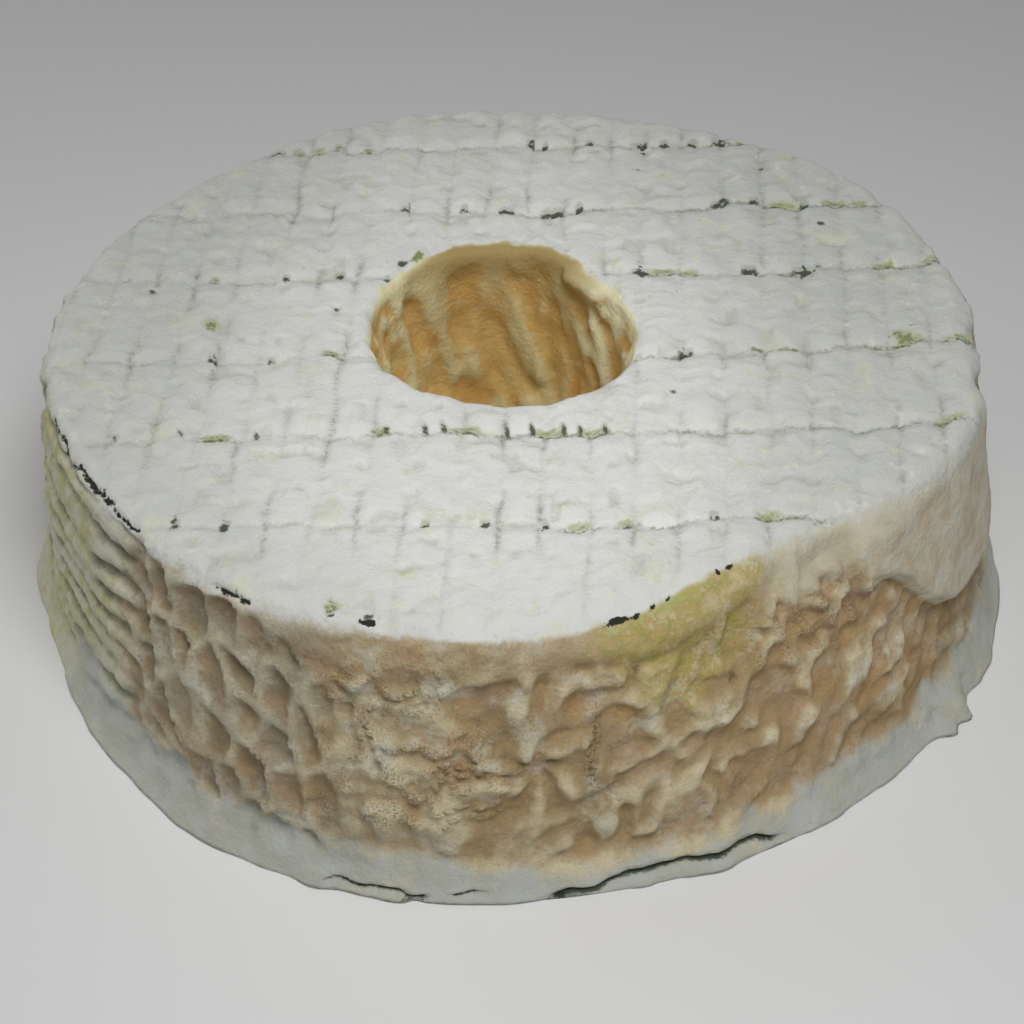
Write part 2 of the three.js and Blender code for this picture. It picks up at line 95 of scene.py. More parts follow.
# %% Draws, soft lumps, pits and wrinkles
PIT_LEAST, PIT_SCATTER = 0.5, 0.9
TILT_ACROSS, TILT_UP, TILT_MOST = 1.2, 0.5, 0.6
WRINKLE_DETAIL, CREST_ROUND = 0.4, 0.24
SLOPE_STEP, FOLD_ROOM, FOLD_MEAN = 0.2, (1.3, 4.2), 0.6


def draw(column, row, seed):
    """A fixed random number from 0 to 1 for each cell of a grid."""
    with np.errstate(over="ignore"):
        h = column.astype(np.int64).astype(np.uint32) * np.uint32(374761393)
        h += row.astype(np.int64).astype(np.uint32) * np.uint32(668265263)
        h += np.uint32((seed * 2246822519) % 2**32)
        h = (h ^ (h >> np.uint32(13))) * np.uint32(1274126177)
        h = (h ^ (h >> np.uint32(16))) * np.uint32(2654435761)
    return (h ^ (h >> np.uint32(15))).astype(float) / 2**32


def smooth(low, high, value):
    t = np.clip((value - low) / (high - low), 0, 1)
    return t * t * (3 - 2 * t)


def within(rise, fall, value):
    """Rises from 0 to 1 between two values and falls again between two others."""
    return smooth(*rise, value) * (1 - smooth(*fall, value))


def ease(t):
    return t * t * t * (t * (6 * t - 15) + 10)


def lumps(x, y, size, seed, round_length=None):
    """Soft lumps from -1 to 1. With a length round, they close on themselves along x."""
    x, y = np.broadcast_arrays(np.asarray(x, float), np.asarray(y, float))
    count = max(1, round(round_length / size)) if round_length else 0
    u = x * count / round_length if count else x / size
    v = y / size
    i, j = np.floor(u), np.floor(v)
    left = np.mod(i, count) if count else i
    right = np.mod(i + 1, count) if count else i + 1
    fu, fv = ease(u - i), ease(v - j)
    lower = draw(left, j, seed) * (1 - fu) + draw(right, j, seed) * fu
    upper = draw(left, j + 1, seed) * (1 - fu) + draw(right, j + 1, seed) * fu
    return 2 * (lower * (1 - fv) + upper * fv) - 1


def wall_lumps(x, z, size, seed):
    return lumps(x, z, size, seed, WALL_ROUND)


def hole_lumps(x, z, size, seed):
    return lumps(x, z, size, seed, HOLE_ROUND)


def crest(away, width):
    """A ridge seen in section: 0 on its rounded top, nearly 1 a width away from it."""
    return 1 - np.exp(-3 * (np.hypot(away / width, CREST_ROUND) - CREST_ROUND))


def pit_depth(x, y, kind, round_length):
    """Depth of pits with thin ridges between them, in leaning rows. A tilt deepens their right side."""
    count = round(round_length / kind["wide"])
    wide = round_length / count
    v = y / kind["tall"]
    u = x / wide - kind["lean"] * v
    i, j = np.floor(u), np.floor(v)
    nearest, second = np.full(u.shape, 99.0), np.full(u.shape, 99.0)
    size, aside = np.zeros(u.shape), np.zeros(u.shape)
    for row_step in (-1, 0, 1):
        for column_step in (-2, -1, 0, 1, 2):
            column, row = i + column_step, j + row_step
            place = np.mod(column, count)
            middle_u = column + 0.5 + PIT_SCATTER * (draw(place, row, kind["seed"]) - 0.5) + np.mod(row, 2) / 2
            middle_v = row + 0.5 + PIT_SCATTER * (draw(place, row, kind["seed"] + 1) - 0.5)
            distance = wide * np.hypot(middle_u - u, middle_v - v)
            closer = distance < nearest
            second = np.where(closer, nearest, np.minimum(second, distance))
            size = np.where(closer, draw(place, row, kind["seed"] + 2), size)
            aside = np.where(closer, TILT_ACROSS * (u - middle_u) + TILT_UP * (v - middle_v), aside)
            nearest = np.where(closer, distance, nearest)
    deep = kind["depth"] * (PIT_LEAST + (1 - PIT_LEAST) * size)
    tilted = 1 + kind["tilt"] * np.clip(aside, -TILT_MOST, TILT_MOST)
    return deep * tilted * crest(second - nearest, kind["border"])


def wrinkle_depth(x, y, kind, round_length):
    """Depth from winding ridges, which follow the middle level of soft lumps."""
    level = lumps(x, y, kind["size"], kind["seed"], round_length)
    level = level + WRINKLE_DETAIL * lumps(x, y, kind["size"] / 2, kind["seed"] + 1, round_length)
    return kind["depth"] * crest(level, kind["border"])


def winding_depth(x, y, kind, round_length, before=lambda x, y: (x, y)):
    """Depth between rounded folds that wind about and lean, one beside another. Narrow folds are shallow ones."""
    def level(x, y):
        x, y = before(x, y)
        along, across = x - kind["lean"] * y, kind["squeeze"] * y
        broad = lumps(along, across, kind["size"], kind["seed"], round_length)
        return broad + kind["detail"] * lumps(along, across, kind["size"] / 2.4, kind["seed"] + 1, round_length)

    here = level(x, y)
    slope = np.hypot(level(x + SLOPE_STEP, y) - here, level(x, y + SLOPE_STEP) - here) / SLOPE_STEP
    room = smooth(*FOLD_ROOM, kind["pitch"] / (slope + 0.001))
    folds = 1 - (0.5 + 0.5 * np.cos(2 * np.pi * here / kind["pitch"])) ** kind["narrow"]
    return kind["depth"] * (FOLD_MEAN + room * (folds - FOLD_MEAN))


print("three draws:", [round(float(draw(np.array(k), np.array(2), 3)), 3) for k in range(3)])

# %% [markdown]
# ## The outline of the ring
#
# Seen in section, the wall leans in from a thin spread foot, swells a little, and turns over a crisp shoulder.
# At the front right the shoulder has slumped and is broad. A section drawn by hand and spun would be too
# regular, so each angle reads its own radii off the tables.

# %% Radii and zones round the ring
def round_wall(angle):
    """How far round the wall an angle lies, in millimetres."""
    return np.radians(angle) * WALL_RADIUS


def apart(a, b):
    return np.mod(a - b + 180, 360) - 180


def groove(away, width):
    return np.exp(-((away / width) ** 2))


def in_zone(angle, zone):
    """1 inside a zone (middle, half width, fade) of the ring, 0 outside it, with a soft border."""
    middle, half, fade = zone
    return 1 - smooth(half - fade / 2, half + fade / 2, np.abs(apart(angle, middle)))


def radius_at(table, angle):
    """A radius read off a table of equal steps, with a smooth curve between its values."""
    count = len(table)
    step = np.mod(angle, 360) / (360 / count)
    first = np.floor(step).astype(int)
    t = step - first
    a, b, c, d = (np.array(table)[np.mod(first + k, count)] for k in (-1, 0, 1, 2))
    return b + 0.5 * t * (c - a + t * (2 * a - 5 * b + 4 * c - d + t * (3 * (b - c) + d - a)))


SLUMP_ZONE = (300, 26, 26)
SLUMP_SIZE = 3.2
RIM_CRACKS = [(206, 9, -2.0), (218, 3.5, -2.2), (237, 2.6, -1.8), (249, 0.4, -0.5), (253.5, 0.8, -0.7)]
CRACK_DEPTH, CRACK_WIDTH, CRACK_FADE = 0.6, 0.35, 1.5


def crack_away(angle, way):
    """How far the nearest crack along the rim is. Each lies by its middle angle, half length and way up."""
    x = round_wall(angle)
    wander = 0.5 * wall_lumps(x, 0, 3.2, 161) + 0.25 * wall_lumps(x, 0, 1.1, 162)
    away = np.full(np.shape(angle), 9.0)
    for middle, half, height in RIM_CRACKS:
        beyond = np.maximum(0, np.abs(apart(angle, middle)) - half)
        away = np.minimum(away, np.abs(way - height - wander) + CRACK_FADE * beyond)
    return away


def shoulder_size(angle):
    return SHOULDER_SIZE + SLUMP_SIZE * in_zone(angle, SLUMP_ZONE)


def wall_radius(angle, z):
    """The wall's radius before its relief."""
    base = radius_at(BASE_RADII, angle) - FOOT_FLARE
    share = z / HEIGHT
    straight = base + (radius_at(TOP_RADII, angle) - base) * share
    return straight + WALL_SWELL * np.sin(np.pi * share) + FOOT_FLARE * np.exp(-z / FOOT_REACH)


front = np.array(270.0)
print("front wall at foot, middle and top:", [round(float(wall_radius(front, z)), 1) for z in (0, 16, HEIGHT)])

# %% [markdown]
# ## Pits, folds and the tongue on the wall
#
# A ripening skin grows faster than the cheese under it, so it buckles. From left to right come long level
# folds, leaning rows of pits, winding folds with a star-like dimple, and a smooth tongue of rind that hangs
# over the wall. Carving each by hand would take days, so zones of the ring choose between kinds of relief.

# %% The wall's relief
PITS = {"wide": 4.1, "tall": 6.0, "lean": -0.35, "border": 2.9, "depth": 1.4, "tilt": 0.9, "seed": 11}
HOLLOWS = {"wide": 5.2, "tall": 7.0, "lean": 0.25, "border": 3.2, "depth": 0.9, "tilt": 0.7, "seed": 31}
WRINKLES = {"size": 4.4, "border": 0.5, "depth": 0.6, "seed": 101}
CRUMPLES = {"size": 3.3, "border": 0.55, "depth": 0.7, "seed": 111}
WINDING = {"size": 6.8, "detail": 0.42, "pitch": 0.78, "lean": 0.35, "squeeze": 0.85, "narrow": 1.5, "depth": 1.1,
           "seed": 171}
CALM_BAND_ZONE, CALM_BAND = (270, 28, 20), 4.5
HOLLOW_SHARE, WRINKLE_SHARE = 0.3, 0.35
CRUMPLED_HOLLOWS, FOLDED_CRUMPLES, PIT_WRINKLES = 0.55, 0.4, 0.6
FOLD_PITCH, FOLD_DEPTH, FOLD_LEAST, FOLD_NARROW = 3.1, 1.15, 0.6, 1.8
BENDS = [(1.1, 1.3, 9, 1), (0.8, 0.8, 3.4, 2)]
PIT_ZONE, FOLD_ZONE, CRUMPLE_ZONE, BACK_ZONE = (236, 14, 10), (206, 15, 8), (257, 8, 8), (80, 85, 30)
CALM_FOOT, CALM_TOP = (1.5, 5.5), (29, 32.5)
DIMPLE_ANGLE, DIMPLE_Z, DIMPLE_RADIUS, DIMPLE_CORE = 271.5, 14.5, 8, 2.5
DIMPLE_ARMS, DIMPLE_DEPTH, DIMPLE_TWIST, DIMPLE_FLAT = 6, 0.9, 1.2, 0.6
TONGUE_ZONE, TONGUE_PROUD, TONGUE_SMOOTHED = (333, 16, 6), 0.8, 0.9
TONGUE_TOP, TONGUE_DROP, TONGUE_FROM, TONGUE_TO, TONGUE_LIP = 25, 11, 316, 332, 1.6
FINE_WRINKLES = {"size": 2.1, "border": 0.7, "depth": 0.2, "seed": 131}
NESTED_ZONE, NESTED_RISE = (259, 10, 8), 0.6
UPRIGHT_ZONE, UPRIGHT_PITCH, UPRIGHT_HEIGHTS = (308, 9, 6), 3.4, ((17.5, 21.5), (26, 30))


def unbent(x, z):
    """Where a place on the wall lay before the skin crept."""
    across, up = x, z
    for bend_across, bend_up, size, seed in BENDS:
        across = across + bend_across * wall_lumps(x, z, size, seed)
        up = up + bend_up * wall_lumps(x, z, size, seed + 2)
    return across, up


def star_dimple(angle, x, z, before_x, before_z):
    """What is left of the folds round the dimple, and the depth of its star."""
    across = round_wall(apart(angle, DIMPLE_ANGLE)) + before_x - x
    up = before_z - DIMPLE_Z
    away = np.hypot(across, up)
    twist = DIMPLE_TWIST * wall_lumps(x, z, 5, 77)
    arms = 0.5 - 0.5 * np.cos(DIMPLE_ARMS * np.arctan2(up, across) + twist)
    near = 1 - smooth(DIMPLE_RADIUS / 2, DIMPLE_RADIUS, away)
    return 1 - DIMPLE_FLAT * near, near * DIMPLE_DEPTH * (1 - smooth(0, DIMPLE_CORE, away) * arms)


def on_tongue(angle, z):
    """1 on the hanging tongue of rind, 0 off it."""
    edge = TONGUE_TOP - TONGUE_DROP * smooth(TONGUE_FROM, TONGUE_TO, np.mod(angle, 360))
    wavy = edge + 0.9 * wall_lumps(round_wall(angle), 0, 5, 41)
    return in_zone(angle, TONGUE_ZONE) * smooth(wavy - TONGUE_LIP / 2, wavy + TONGUE_LIP / 2, z)


def level_fold_depth(x, z):
    wander = wall_lumps(x, 2 * z, 11, 7) + 0.35 * wall_lumps(x, z, 4.5, 8)
    wave = np.cos(2 * np.pi * (z + wander) / FOLD_PITCH)
    fade = FOLD_LEAST + (1 - FOLD_LEAST) * (0.5 + 0.5 * wall_lumps(x, z, 7, 9))
    broken = 0.45 + 0.55 * smooth(-0.5, 0.3, wall_lumps(x, z, 4.2, 15))
    return FOLD_DEPTH * fade * broken * (0.5 - 0.5 * wave) ** FOLD_NARROW


def wall_depth(angle, z):
    """How deep the folds, pits, wrinkles and the dimple are, from 0 on a ridge."""
    x = round_wall(angle)
    before_x, before_z = unbent(x, z)
    turns = smooth(-0.1, 0.3, wall_lumps(x, 0, 40, 13))
    pit_share = np.maximum(in_zone(angle, PIT_ZONE), in_zone(angle, BACK_ZONE) * turns)
    crumpled = in_zone(angle, CRUMPLE_ZONE)
    crumples = wrinkle_depth(before_x, before_z, CRUMPLES, WALL_ROUND)
    hollows = pit_depth(before_x, before_z, HOLLOWS, WALL_ROUND) * (1 - (1 - CRUMPLED_HOLLOWS) * crumpled)
    wrinkles = wrinkle_depth(before_x, before_z, WRINKLES, WALL_ROUND) * (1 - crumpled) + crumples * crumpled
    pits = pit_depth(before_x, before_z, PITS, WALL_ROUND)
    winding = winding_depth(x, z, WINDING, WALL_ROUND, unbent) * (1 - 0.5 * crumpled)
    hollows = HOLLOW_SHARE * hollows + WRINKLE_SHARE * wrinkles + winding
    rough = hollows * (1 - pit_share) + (pits + PIT_WRINKLES * wrinkles) * pit_share
    fold_share = in_zone(angle, FOLD_ZONE)
    folded = rough * (1 - fold_share) + (level_fold_depth(x, z) + FOLDED_CRUMPLES * crumples) * fold_share
    left, star = star_dimple(angle, x, z, before_x, before_z)
    calm = smooth(*CALM_FOOT, z) * (1 - smooth(*CALM_TOP, z + CALM_BAND * in_zone(angle, CALM_BAND_ZONE)))
    return (folded * left + star) * calm * (1 - TONGUE_SMOOTHED * on_tongue(angle, z))


def nested_ridges(angle, z):
    """Thin raised ridges, one inside another, which follow several levels of the same soft lumps."""
    x = round_wall(angle)
    before_x, before_z = unbent(x, z)
    level = wall_lumps(before_x, before_z, 6.5, 141) + 0.25 * wall_lumps(x, z, 2.4, 142)
    ridges = smooth(0.25, 1, np.cos(2 * np.pi * level / 0.5))
    kept = smooth(-0.35, 0.1, wall_lumps(x, z, 7.5, 143))
    nested = ridges * kept * in_zone(angle, NESTED_ZONE) * within((6, 9), (25, 30), z)
    leaning = x + 0.3 * z + 0.7 * wall_lumps(x, z, 5, 144)
    upright_ridges = smooth(-0.3, 1, np.cos(2 * np.pi * leaning / UPRIGHT_PITCH))
    return np.maximum(nested, 1.1 * upright_ridges * within(*UPRIGHT_HEIGHTS, z) * in_zone(angle, UPRIGHT_ZONE))


def wall_relief(angle, z):
    """All of it, down to the finest wrinkles and grain that are still true shape."""
    x = round_wall(angle)
    broad = 0.25 * wall_lumps(x, z, 6, 17)
    tongue = on_tongue(angle, z)
    wrinkles = wrinkle_depth(x + 0.6 * wall_lumps(x, z, 2.6, 132), z, FINE_WRINKLES, WALL_ROUND)
    grain = 0.07 * wall_lumps(x, z, 2.2, 21) + 0.06 * wall_lumps(x, z, 1.05, 22)
    fine = (grain - wrinkles) * smooth(0.3, 2.5, z) * (1 - 0.5 * tongue)
    return TONGUE_PROUD * tongue - wall_depth(angle, z) + broad + fine + NESTED_RISE * nested_ridges(angle, z)


sample_angles = np.linspace(180, 360, 200)
print("depth of the wall's relief, mm:", round(float(wall_depth(sample_angles, sample_angles * 0 + 16).max()), 2))

# %% [markdown]
# ## The print of the mat on the upper face
#
# Straws ran from front to back and left fine creases about 4.6 mm apart. The threads that tied them ran from
# left to right, cut deeper and step a little at each straw. All of it is geometry, because low light across
# the top shows every crease.

# %% The upper face's relief
THREADS = [39, 24.5, 11, -4.5, -18.5, -33]
THREAD_SLOPE, THREAD_DEPTH, THREAD_WIDTH, THREAD_WANDER = 0.035, 0.75, 0.75, 0.5
THREAD_RISE_FROM, THREAD_RISE = 20, 0.0015
THREAD_STEP = 0.55
STRAW_PITCH, STRAW_SLOPE, STRAW_DEPTH, STRAW_WIDTH, STRAW_WANDER = 4.6, 0.06, 0.42, 0.4, 0.4
PILLOW, PILLOW_STRAW, PILLOW_THREAD = 0.36, 2.1, 2.5
DENT_DEPTH = 0.36
TOP_WRINKLES = {"size": 2.8, "border": 0.7, "depth": 0.26, "seed": 88}


def straw_index(x, y):
    return np.round((x - STRAW_SLOPE * y) / STRAW_PITCH)


def straw_line(index, y):
    wander = STRAW_WANDER * lumps(index * 9, y, 8, 62) + 0.25 * lumps(index * 9, y, 2.6, 78)
    return index * STRAW_PITCH + STRAW_SLOPE * y + wander


def thread_line(y0, x):
    """Where a thread ran, with a small step from each straw to the next."""
    bed = np.floor(x / STRAW_PITCH)
    share = smooth(0.35, 0.65, x / STRAW_PITCH - bed)
    number = np.full(np.shape(bed), round(y0))
    step = draw(bed, number, 65) * (1 - share) + draw(bed + 1, number, 65) * share - 0.5
    rise = THREAD_SLOPE * x + THREAD_RISE * np.maximum(0, x - THREAD_RISE_FROM) ** 2
    small = 0.22 * lumps(x, y0, 2.1, 68)
    return y0 + rise + THREAD_WANDER * lumps(x, y0, 7, 61) + 2 * THREAD_STEP * step + small


def thread_strength(number, x):
    """How firmly one thread was pressed in along its way: fainter on the left, and never even."""
    fading = 0.3 + 0.7 * smooth(-25, 20, x + 12 * lumps(x, 0, 9, 70 + number))
    return fading * (0.35 + 0.65 * smooth(-0.6, 0.5, lumps(x, 0, 3.4, 75 + number)))


def thread_print(x, y):
    """How deep the threads are pressed in, from 0 to 1."""
    deepest = np.zeros(np.shape(x))
    for number, y0 in enumerate(THREADS):
        width = THREAD_WIDTH * (1 + 0.35 * lumps(x, y0, 3.1, 69))
        deepest = np.maximum(deepest, thread_strength(number, x) * groove(y - thread_line(y0, x), width))
    return deepest


def straw_away(x, y):
    """How far the nearest straw's crease is."""
    middle = straw_index(x, y)
    return np.minimum.reduce([np.abs(x - straw_line(middle + k, y)) for k in (-1, 0, 1)])


def thread_off(x, y):
    """How far the nearest thread's crease is."""
    return np.minimum.reduce([np.abs(y - thread_line(y0, x)) for y0 in THREADS])


def straw_strength(x, y):
    """A straw's crease is firmest where a thread tied it down."""
    faded = 0.2 + 0.8 * (0.5 + 0.5 * lumps(x, y, 9, 63))
    tied = 0.35 + 0.65 * groove(thread_off(x, y), 4)
    return tied * faded * (0.4 + 0.6 * smooth(-0.4, 0.5, lumps(straw_index(x, y) * 7, y, 5, 79)))


def straw_print(x, y):
    """How deep the straws are pressed in, from 0 to 1."""
    return straw_strength(x, y) * groove(straw_away(x, y), STRAW_WIDTH)


def top_relief(x, y):
    thread, straw = thread_print(x, y), straw_print(x, y)
    crown = PILLOW * smooth(0, PILLOW_STRAW, straw_away(x, y)) * smooth(0, PILLOW_THREAD, thread_off(x, y))
    dents = DENT_DEPTH * smooth(0.35, 0.85, lumps(x, y, 2.0, 85))
    creases = wrinkle_depth(x + 0.8 * lumps(x, y, 3, 87), y, TOP_WRINKLES, None)
    small = 0.12 * lumps(x, y, 2.6, 66) + 0.06 * lumps(x, y, 1.2, 67)
    pressed = THREAD_DEPTH * thread + STRAW_DEPTH * straw + dents + creases
    return crown - pressed + 0.25 * lumps(x, y, 13, 64) + small


print("crease depth under a thread, mm:", THREAD_DEPTH, "and under a straw:", STRAW_DEPTH)

# %% [markdown]
# ## The hole
#
# The hole was moulded round a core, and its skin has sagged into upright folds. It uses the wall's rules for
# pits, winding folds and wrinkles, drawn out upright.

# %% The hole's relief
FLAP_ZONE, FLAP_REACH = (47, 13, 5), 1.4
HOLE_FOLDS = {"wide": 4.6, "tall": 15, "lean": 0.3, "border": 2.4, "depth": 1.3, "tilt": 0, "seed": 51}
HOLE_WRINKLES = {"size": 3.1, "border": 0.7, "depth": 0.6, "seed": 151}
HOLE_WINDING = {"size": 5.4, "detail": 0.45, "pitch": 0.8, "lean": 0.3, "squeeze": 0.28, "narrow": 1.2, "depth": 1.2,
                "seed": 191}
HOLE_MIDDLE = 1.0


def round_hole(angle):
    return angle / 360 * HOLE_ROUND


def hole_folds(angle, z):
    x = round_hole(angle)
    bent = x + 0.8 * hole_lumps(x, z, 6, 53) + 0.6 * hole_lumps(x, z, 3.2, 57)
    folds = pit_depth(bent, z + 1.5 * hole_lumps(x, z, 8, 54), HOLE_FOLDS, HOLE_ROUND)
    winding = winding_depth(x, z, HOLE_WINDING, HOLE_ROUND)
    return 0.5 * folds + winding + 0.4 * wrinkle_depth(bent, 0.6 * z, HOLE_WRINKLES, HOLE_ROUND)


def ragged_edge(angle):
    """The hole's edge isn't a clean cut: the skin of the face curls over it here and there."""
    x = round_hole(angle)
    flap = FLAP_REACH * in_zone(angle, FLAP_ZONE)
    return 0.45 * hole_lumps(x, 0, 4.5, 58) + 0.2 * hole_lumps(x, 0, 1.7, 59) + flap


def hole_relief(angle, z):
    """How far the hole's skin stands into the hole."""
    calm = within((0, 5), (HEIGHT - 5, HEIGHT - 1), z)
    x = round_hole(angle)
    curl = ragged_edge(angle) * smooth(HEIGHT - 5, HEIGHT - HOLE_EDGE_SIZE, z)
    fine = 0.08 * hole_lumps(x, z, 2, 55) + 0.05 * hole_lumps(x, z, 1, 56)
    return (HOLE_MIDDLE - hole_folds(angle, z)) * calm + curl + fine


print("fold depth in the hole, mm:", HOLE_FOLDS["depth"])

# %% [markdown]
# ## The foot
#
# The cheese has spread a little where it stands, into a pale lip with a wavy edge. At the front the lip has
# lifted and split, which leaves a dark slit just above the ground, and at the right a scrap of rind is torn
# and sticks out. A few rows of points close together make room for the slit.

# %% The foot's lip, slit and torn scrap
SLIT_ZONE, SLIT_ENDS, SLIT_RISE, SLIT_HEIGHT, SLIT_DEPTH = (287, 13, 3), 0.5, 0.95, 0.3, 1.2
SLIT_RISE_ZONE = (290, 9, 6)
NICK_ZONE, NICK_Z, NICK_HEIGHT = (258, 8, 4), 1.0, 0.16
SCRAP_ZONE, SCRAP_REACH, SCRAP_TOP = (330, 4.5, 4), 1.2, (2.2, 3.8)


def slit(angle, z):
    """1 in the slit of the foot's lip and in the nicks to its left, 0 elsewhere."""
    x = round_wall(angle)
    wander = 0.25 * wall_lumps(x, 0, 7, 81) + 0.2 * wall_lumps(x, 0, 2, 82)
    middle = SLIT_ENDS + SLIT_RISE * in_zone(angle, SLIT_RISE_ZONE) + wander
    long_slit = in_zone(angle, SLIT_ZONE) * groove(z - middle, SLIT_HEIGHT)
    broken = smooth(-0.35, 0.05, wall_lumps(x, z, 3, 89))
    nicks = in_zone(angle, NICK_ZONE) * broken * groove(z - NICK_Z - 2 * wander, NICK_HEIGHT)
    return np.maximum(long_slit, nicks)


def foot_relief(angle, z):
    x = round_wall(angle)
    low = 1 - smooth(1.5, 5, z)
    wavy = 0.3 * wall_lumps(x, 0, 8, 83) + 0.28 * wall_lumps(x, z, 2.8, 84)
    torn = 0.6 + 0.9 * wall_lumps(x, z, 1.6, 86) + 0.6 * wall_lumps(x, 0, 3.5, 91)
    scrap = SCRAP_REACH * torn * in_zone(angle, SCRAP_ZONE) * (1 - smooth(*SCRAP_TOP, z))
    return low * wavy - SLIT_DEPTH * slit(angle, z) + scrap


print("slit runs from", SLIT_ZONE[0] - SLIT_ZONE[1], "to", SLIT_ZONE[0] + SLIT_ZONE[1], "degrees")

# %% [markdown]
# ## One closed skin
#
# The skin is a stack of rings of points: up the wall, over the shoulder, across the top, down the hole and
# back under. Rings with equal counts are joined by squares. Towards the hole a ring needs fewer points, so
# there two rings are zipped with triangles. A revolved curve with a displacement would crowd the points there.

# %% Places on each part of the skin
SHOULDER_FADE = 0.45


def upright(angle, radius, z, middle_x=0.0, middle_y=0.0):
    z = np.broadcast_to(np.asarray(z, float), np.shape(angle))
    turn = np.radians(angle)
    return np.stack([middle_x + radius * np.cos(turn), middle_y + radius * np.sin(turn), z], 1)


def wall_place(angle, z):
    relief = wall_relief(angle, z) * smooth(0, CALM_FOOT[0], z) + foot_relief(angle, z)
    return upright(angle, wall_radius(angle, z) + relief, z)


def shoulder_place(angle, share):
    """Over the shoulder, from the wall at share 0 to the upper face at share 1, with the wall's relief fading."""
    size = shoulder_size(angle)
    start = HEIGHT - size
    bend = share * np.pi / 2
    z = start + size * np.sin(bend)
    fade = 1 - smooth(SHOULDER_FADE, 1, share)
    crack = groove(crack_away(angle, (share - 1) * size * np.pi / 2), CRACK_WIDTH)
    relief = (wall_relief(angle, z) - CRACK_DEPTH * crack) * fade
    place = upright(angle, wall_radius(angle, start) - size * (1 - np.cos(bend)) + relief * np.cos(bend), z)
    place[:, 2] += top_relief(place[:, 0], place[:, 1]) * share + relief * np.sin(bend)
    return place


def hole_edge_place(angle, share):
    bend = share * np.pi / 2
    radius = radius_at(HOLE_RADII, angle) + HOLE_EDGE_SIZE * (1 - np.sin(bend)) - ragged_edge(angle) * share
    place = upright(angle, radius, 0, HOLE_X, HOLE_Y)
    drop = HOLE_EDGE_SIZE * (1 - np.cos(bend))
    place[:, 2] = HEIGHT - drop + top_relief(place[:, 0], place[:, 1]) * (1 - share)
    return place


def hole_place(angle, z):
    return upright(angle, radius_at(HOLE_RADII, angle) - hole_relief(angle, z), z, HOLE_X, HOLE_Y)


def top_place(angle, share):
    """Across the upper face, from the shoulder at share 0 to the hole's edge at share 1."""
    outer, inner = shoulder_place(angle, 1.0), hole_edge_place(angle, 0.0)
    place = outer + (inner - outer) * share
    place[:, 2] = HEIGHT + top_relief(place[:, 0], place[:, 1])
    return place


def under_place(angle, share):
    """Across the underside, from the hole at share 0 to the foot at share 1."""
    inner = upright(angle, radius_at(HOLE_RADII, angle) + HOLE_EDGE_SIZE / 2, 0, HOLE_X, HOLE_Y)
    outer = upright(angle, wall_radius(angle, 0.0) - FOOT_ROUNDING, 0)
    return inner + (outer - inner) * share


print("a place on the front wall:", wall_place(np.array([270.0]), np.array([16.0])).round(1).tolist())

# %% The rings, from the foot up, over, through and back under
WALL_COLUMNS, TOP_COLUMNS, HOLE_COLUMNS, UNDER_COLUMNS = 640, 420, 210, 320
skin = {"places": [], "part": [], "angle": [], "way": []}
rings = []


def way_up(angle, z):
    """How far along the skin a place on the wall is from the rim, which is where the upper face starts."""
    return z - HEIGHT + shoulder_size(angle) * (1 - np.pi / 2)


def way_in(angle, share):
    across = shoulder_place(angle, 1.0) - hole_edge_place(angle, 0.0)
    return share * np.hypot(across[:, 0], across[:, 1])


def add_ring(columns, part, make, way=lambda angle: np.full(angle.shape, 99.0)):
    """One ring of points: its places, with the part, angle and way from the rim that its colours need."""
    angle = np.arange(columns) * 360 / columns
    place = make(angle)
    start = sum(len(p) for p in skin["places"])
    skin["places"].append(place)
    skin["part"].append(np.full(columns, part))
    skin["angle"].append(angle)
    skin["way"].append(way(angle))
    rings.append((start, columns))


FOOT_HEIGHTS = [0.25, 0.5, 0.7, 0.9, 1.1, 1.3, 1.55, 1.9, 2.3]
WALL_ROWS = 56
SHOULDER_ROWS, TOP_ROWS, HOLE_EDGE_ROWS, HOLE_ROWS, UNDER_ROWS = 12, 68, 5, 36, 6

add_ring(WALL_COLUMNS, "foot", lambda a: upright(a, wall_radius(a, 0.0) - FOOT_ROUNDING, 0.0),
         lambda a: way_up(a, 0.0))
for z in FOOT_HEIGHTS:
    add_ring(WALL_COLUMNS, "wall", lambda a: wall_place(a, np.full(a.shape, z)), lambda a: way_up(a, z))


def row_height(angle, row):
    low = FOOT_HEIGHTS[-1]
    return low + (HEIGHT - shoulder_size(angle) - low) * row / (WALL_ROWS + 1)


for row in range(1, WALL_ROWS + 1):
    add_ring(WALL_COLUMNS, "wall", lambda a: wall_place(a, row_height(a, row)),
             lambda a: way_up(a, row_height(a, row)))
for row in range(SHOULDER_ROWS):
    share = row / (SHOULDER_ROWS - 1)
    add_ring(WALL_COLUMNS, "shoulder", lambda a: shoulder_place(a, share),
             lambda a: (share - 1) * shoulder_size(a) * np.pi / 2)
for row in range(1, TOP_ROWS):
    columns = WALL_COLUMNS if row < TOP_ROWS / 2 else TOP_COLUMNS
    add_ring(columns, "top", lambda a: top_place(a, row / TOP_ROWS), lambda a: way_in(a, row / TOP_ROWS))
for row in range(HOLE_EDGE_ROWS):
    columns = TOP_COLUMNS if row == 0 else HOLE_COLUMNS
    add_ring(columns, "edge", lambda a: hole_edge_place(a, row / (HOLE_EDGE_ROWS - 1)))
for row in range(1, HOLE_ROWS):
    high = HEIGHT - HOLE_EDGE_SIZE
    add_ring(HOLE_COLUMNS, "hole", lambda a: hole_place(a, np.full(a.shape, high * (1 - row / HOLE_ROWS))))
for row in range(UNDER_ROWS):
    add_ring(HOLE_COLUMNS if row == 0 else UNDER_COLUMNS, "under", lambda a: under_place(a, row / UNDER_ROWS))
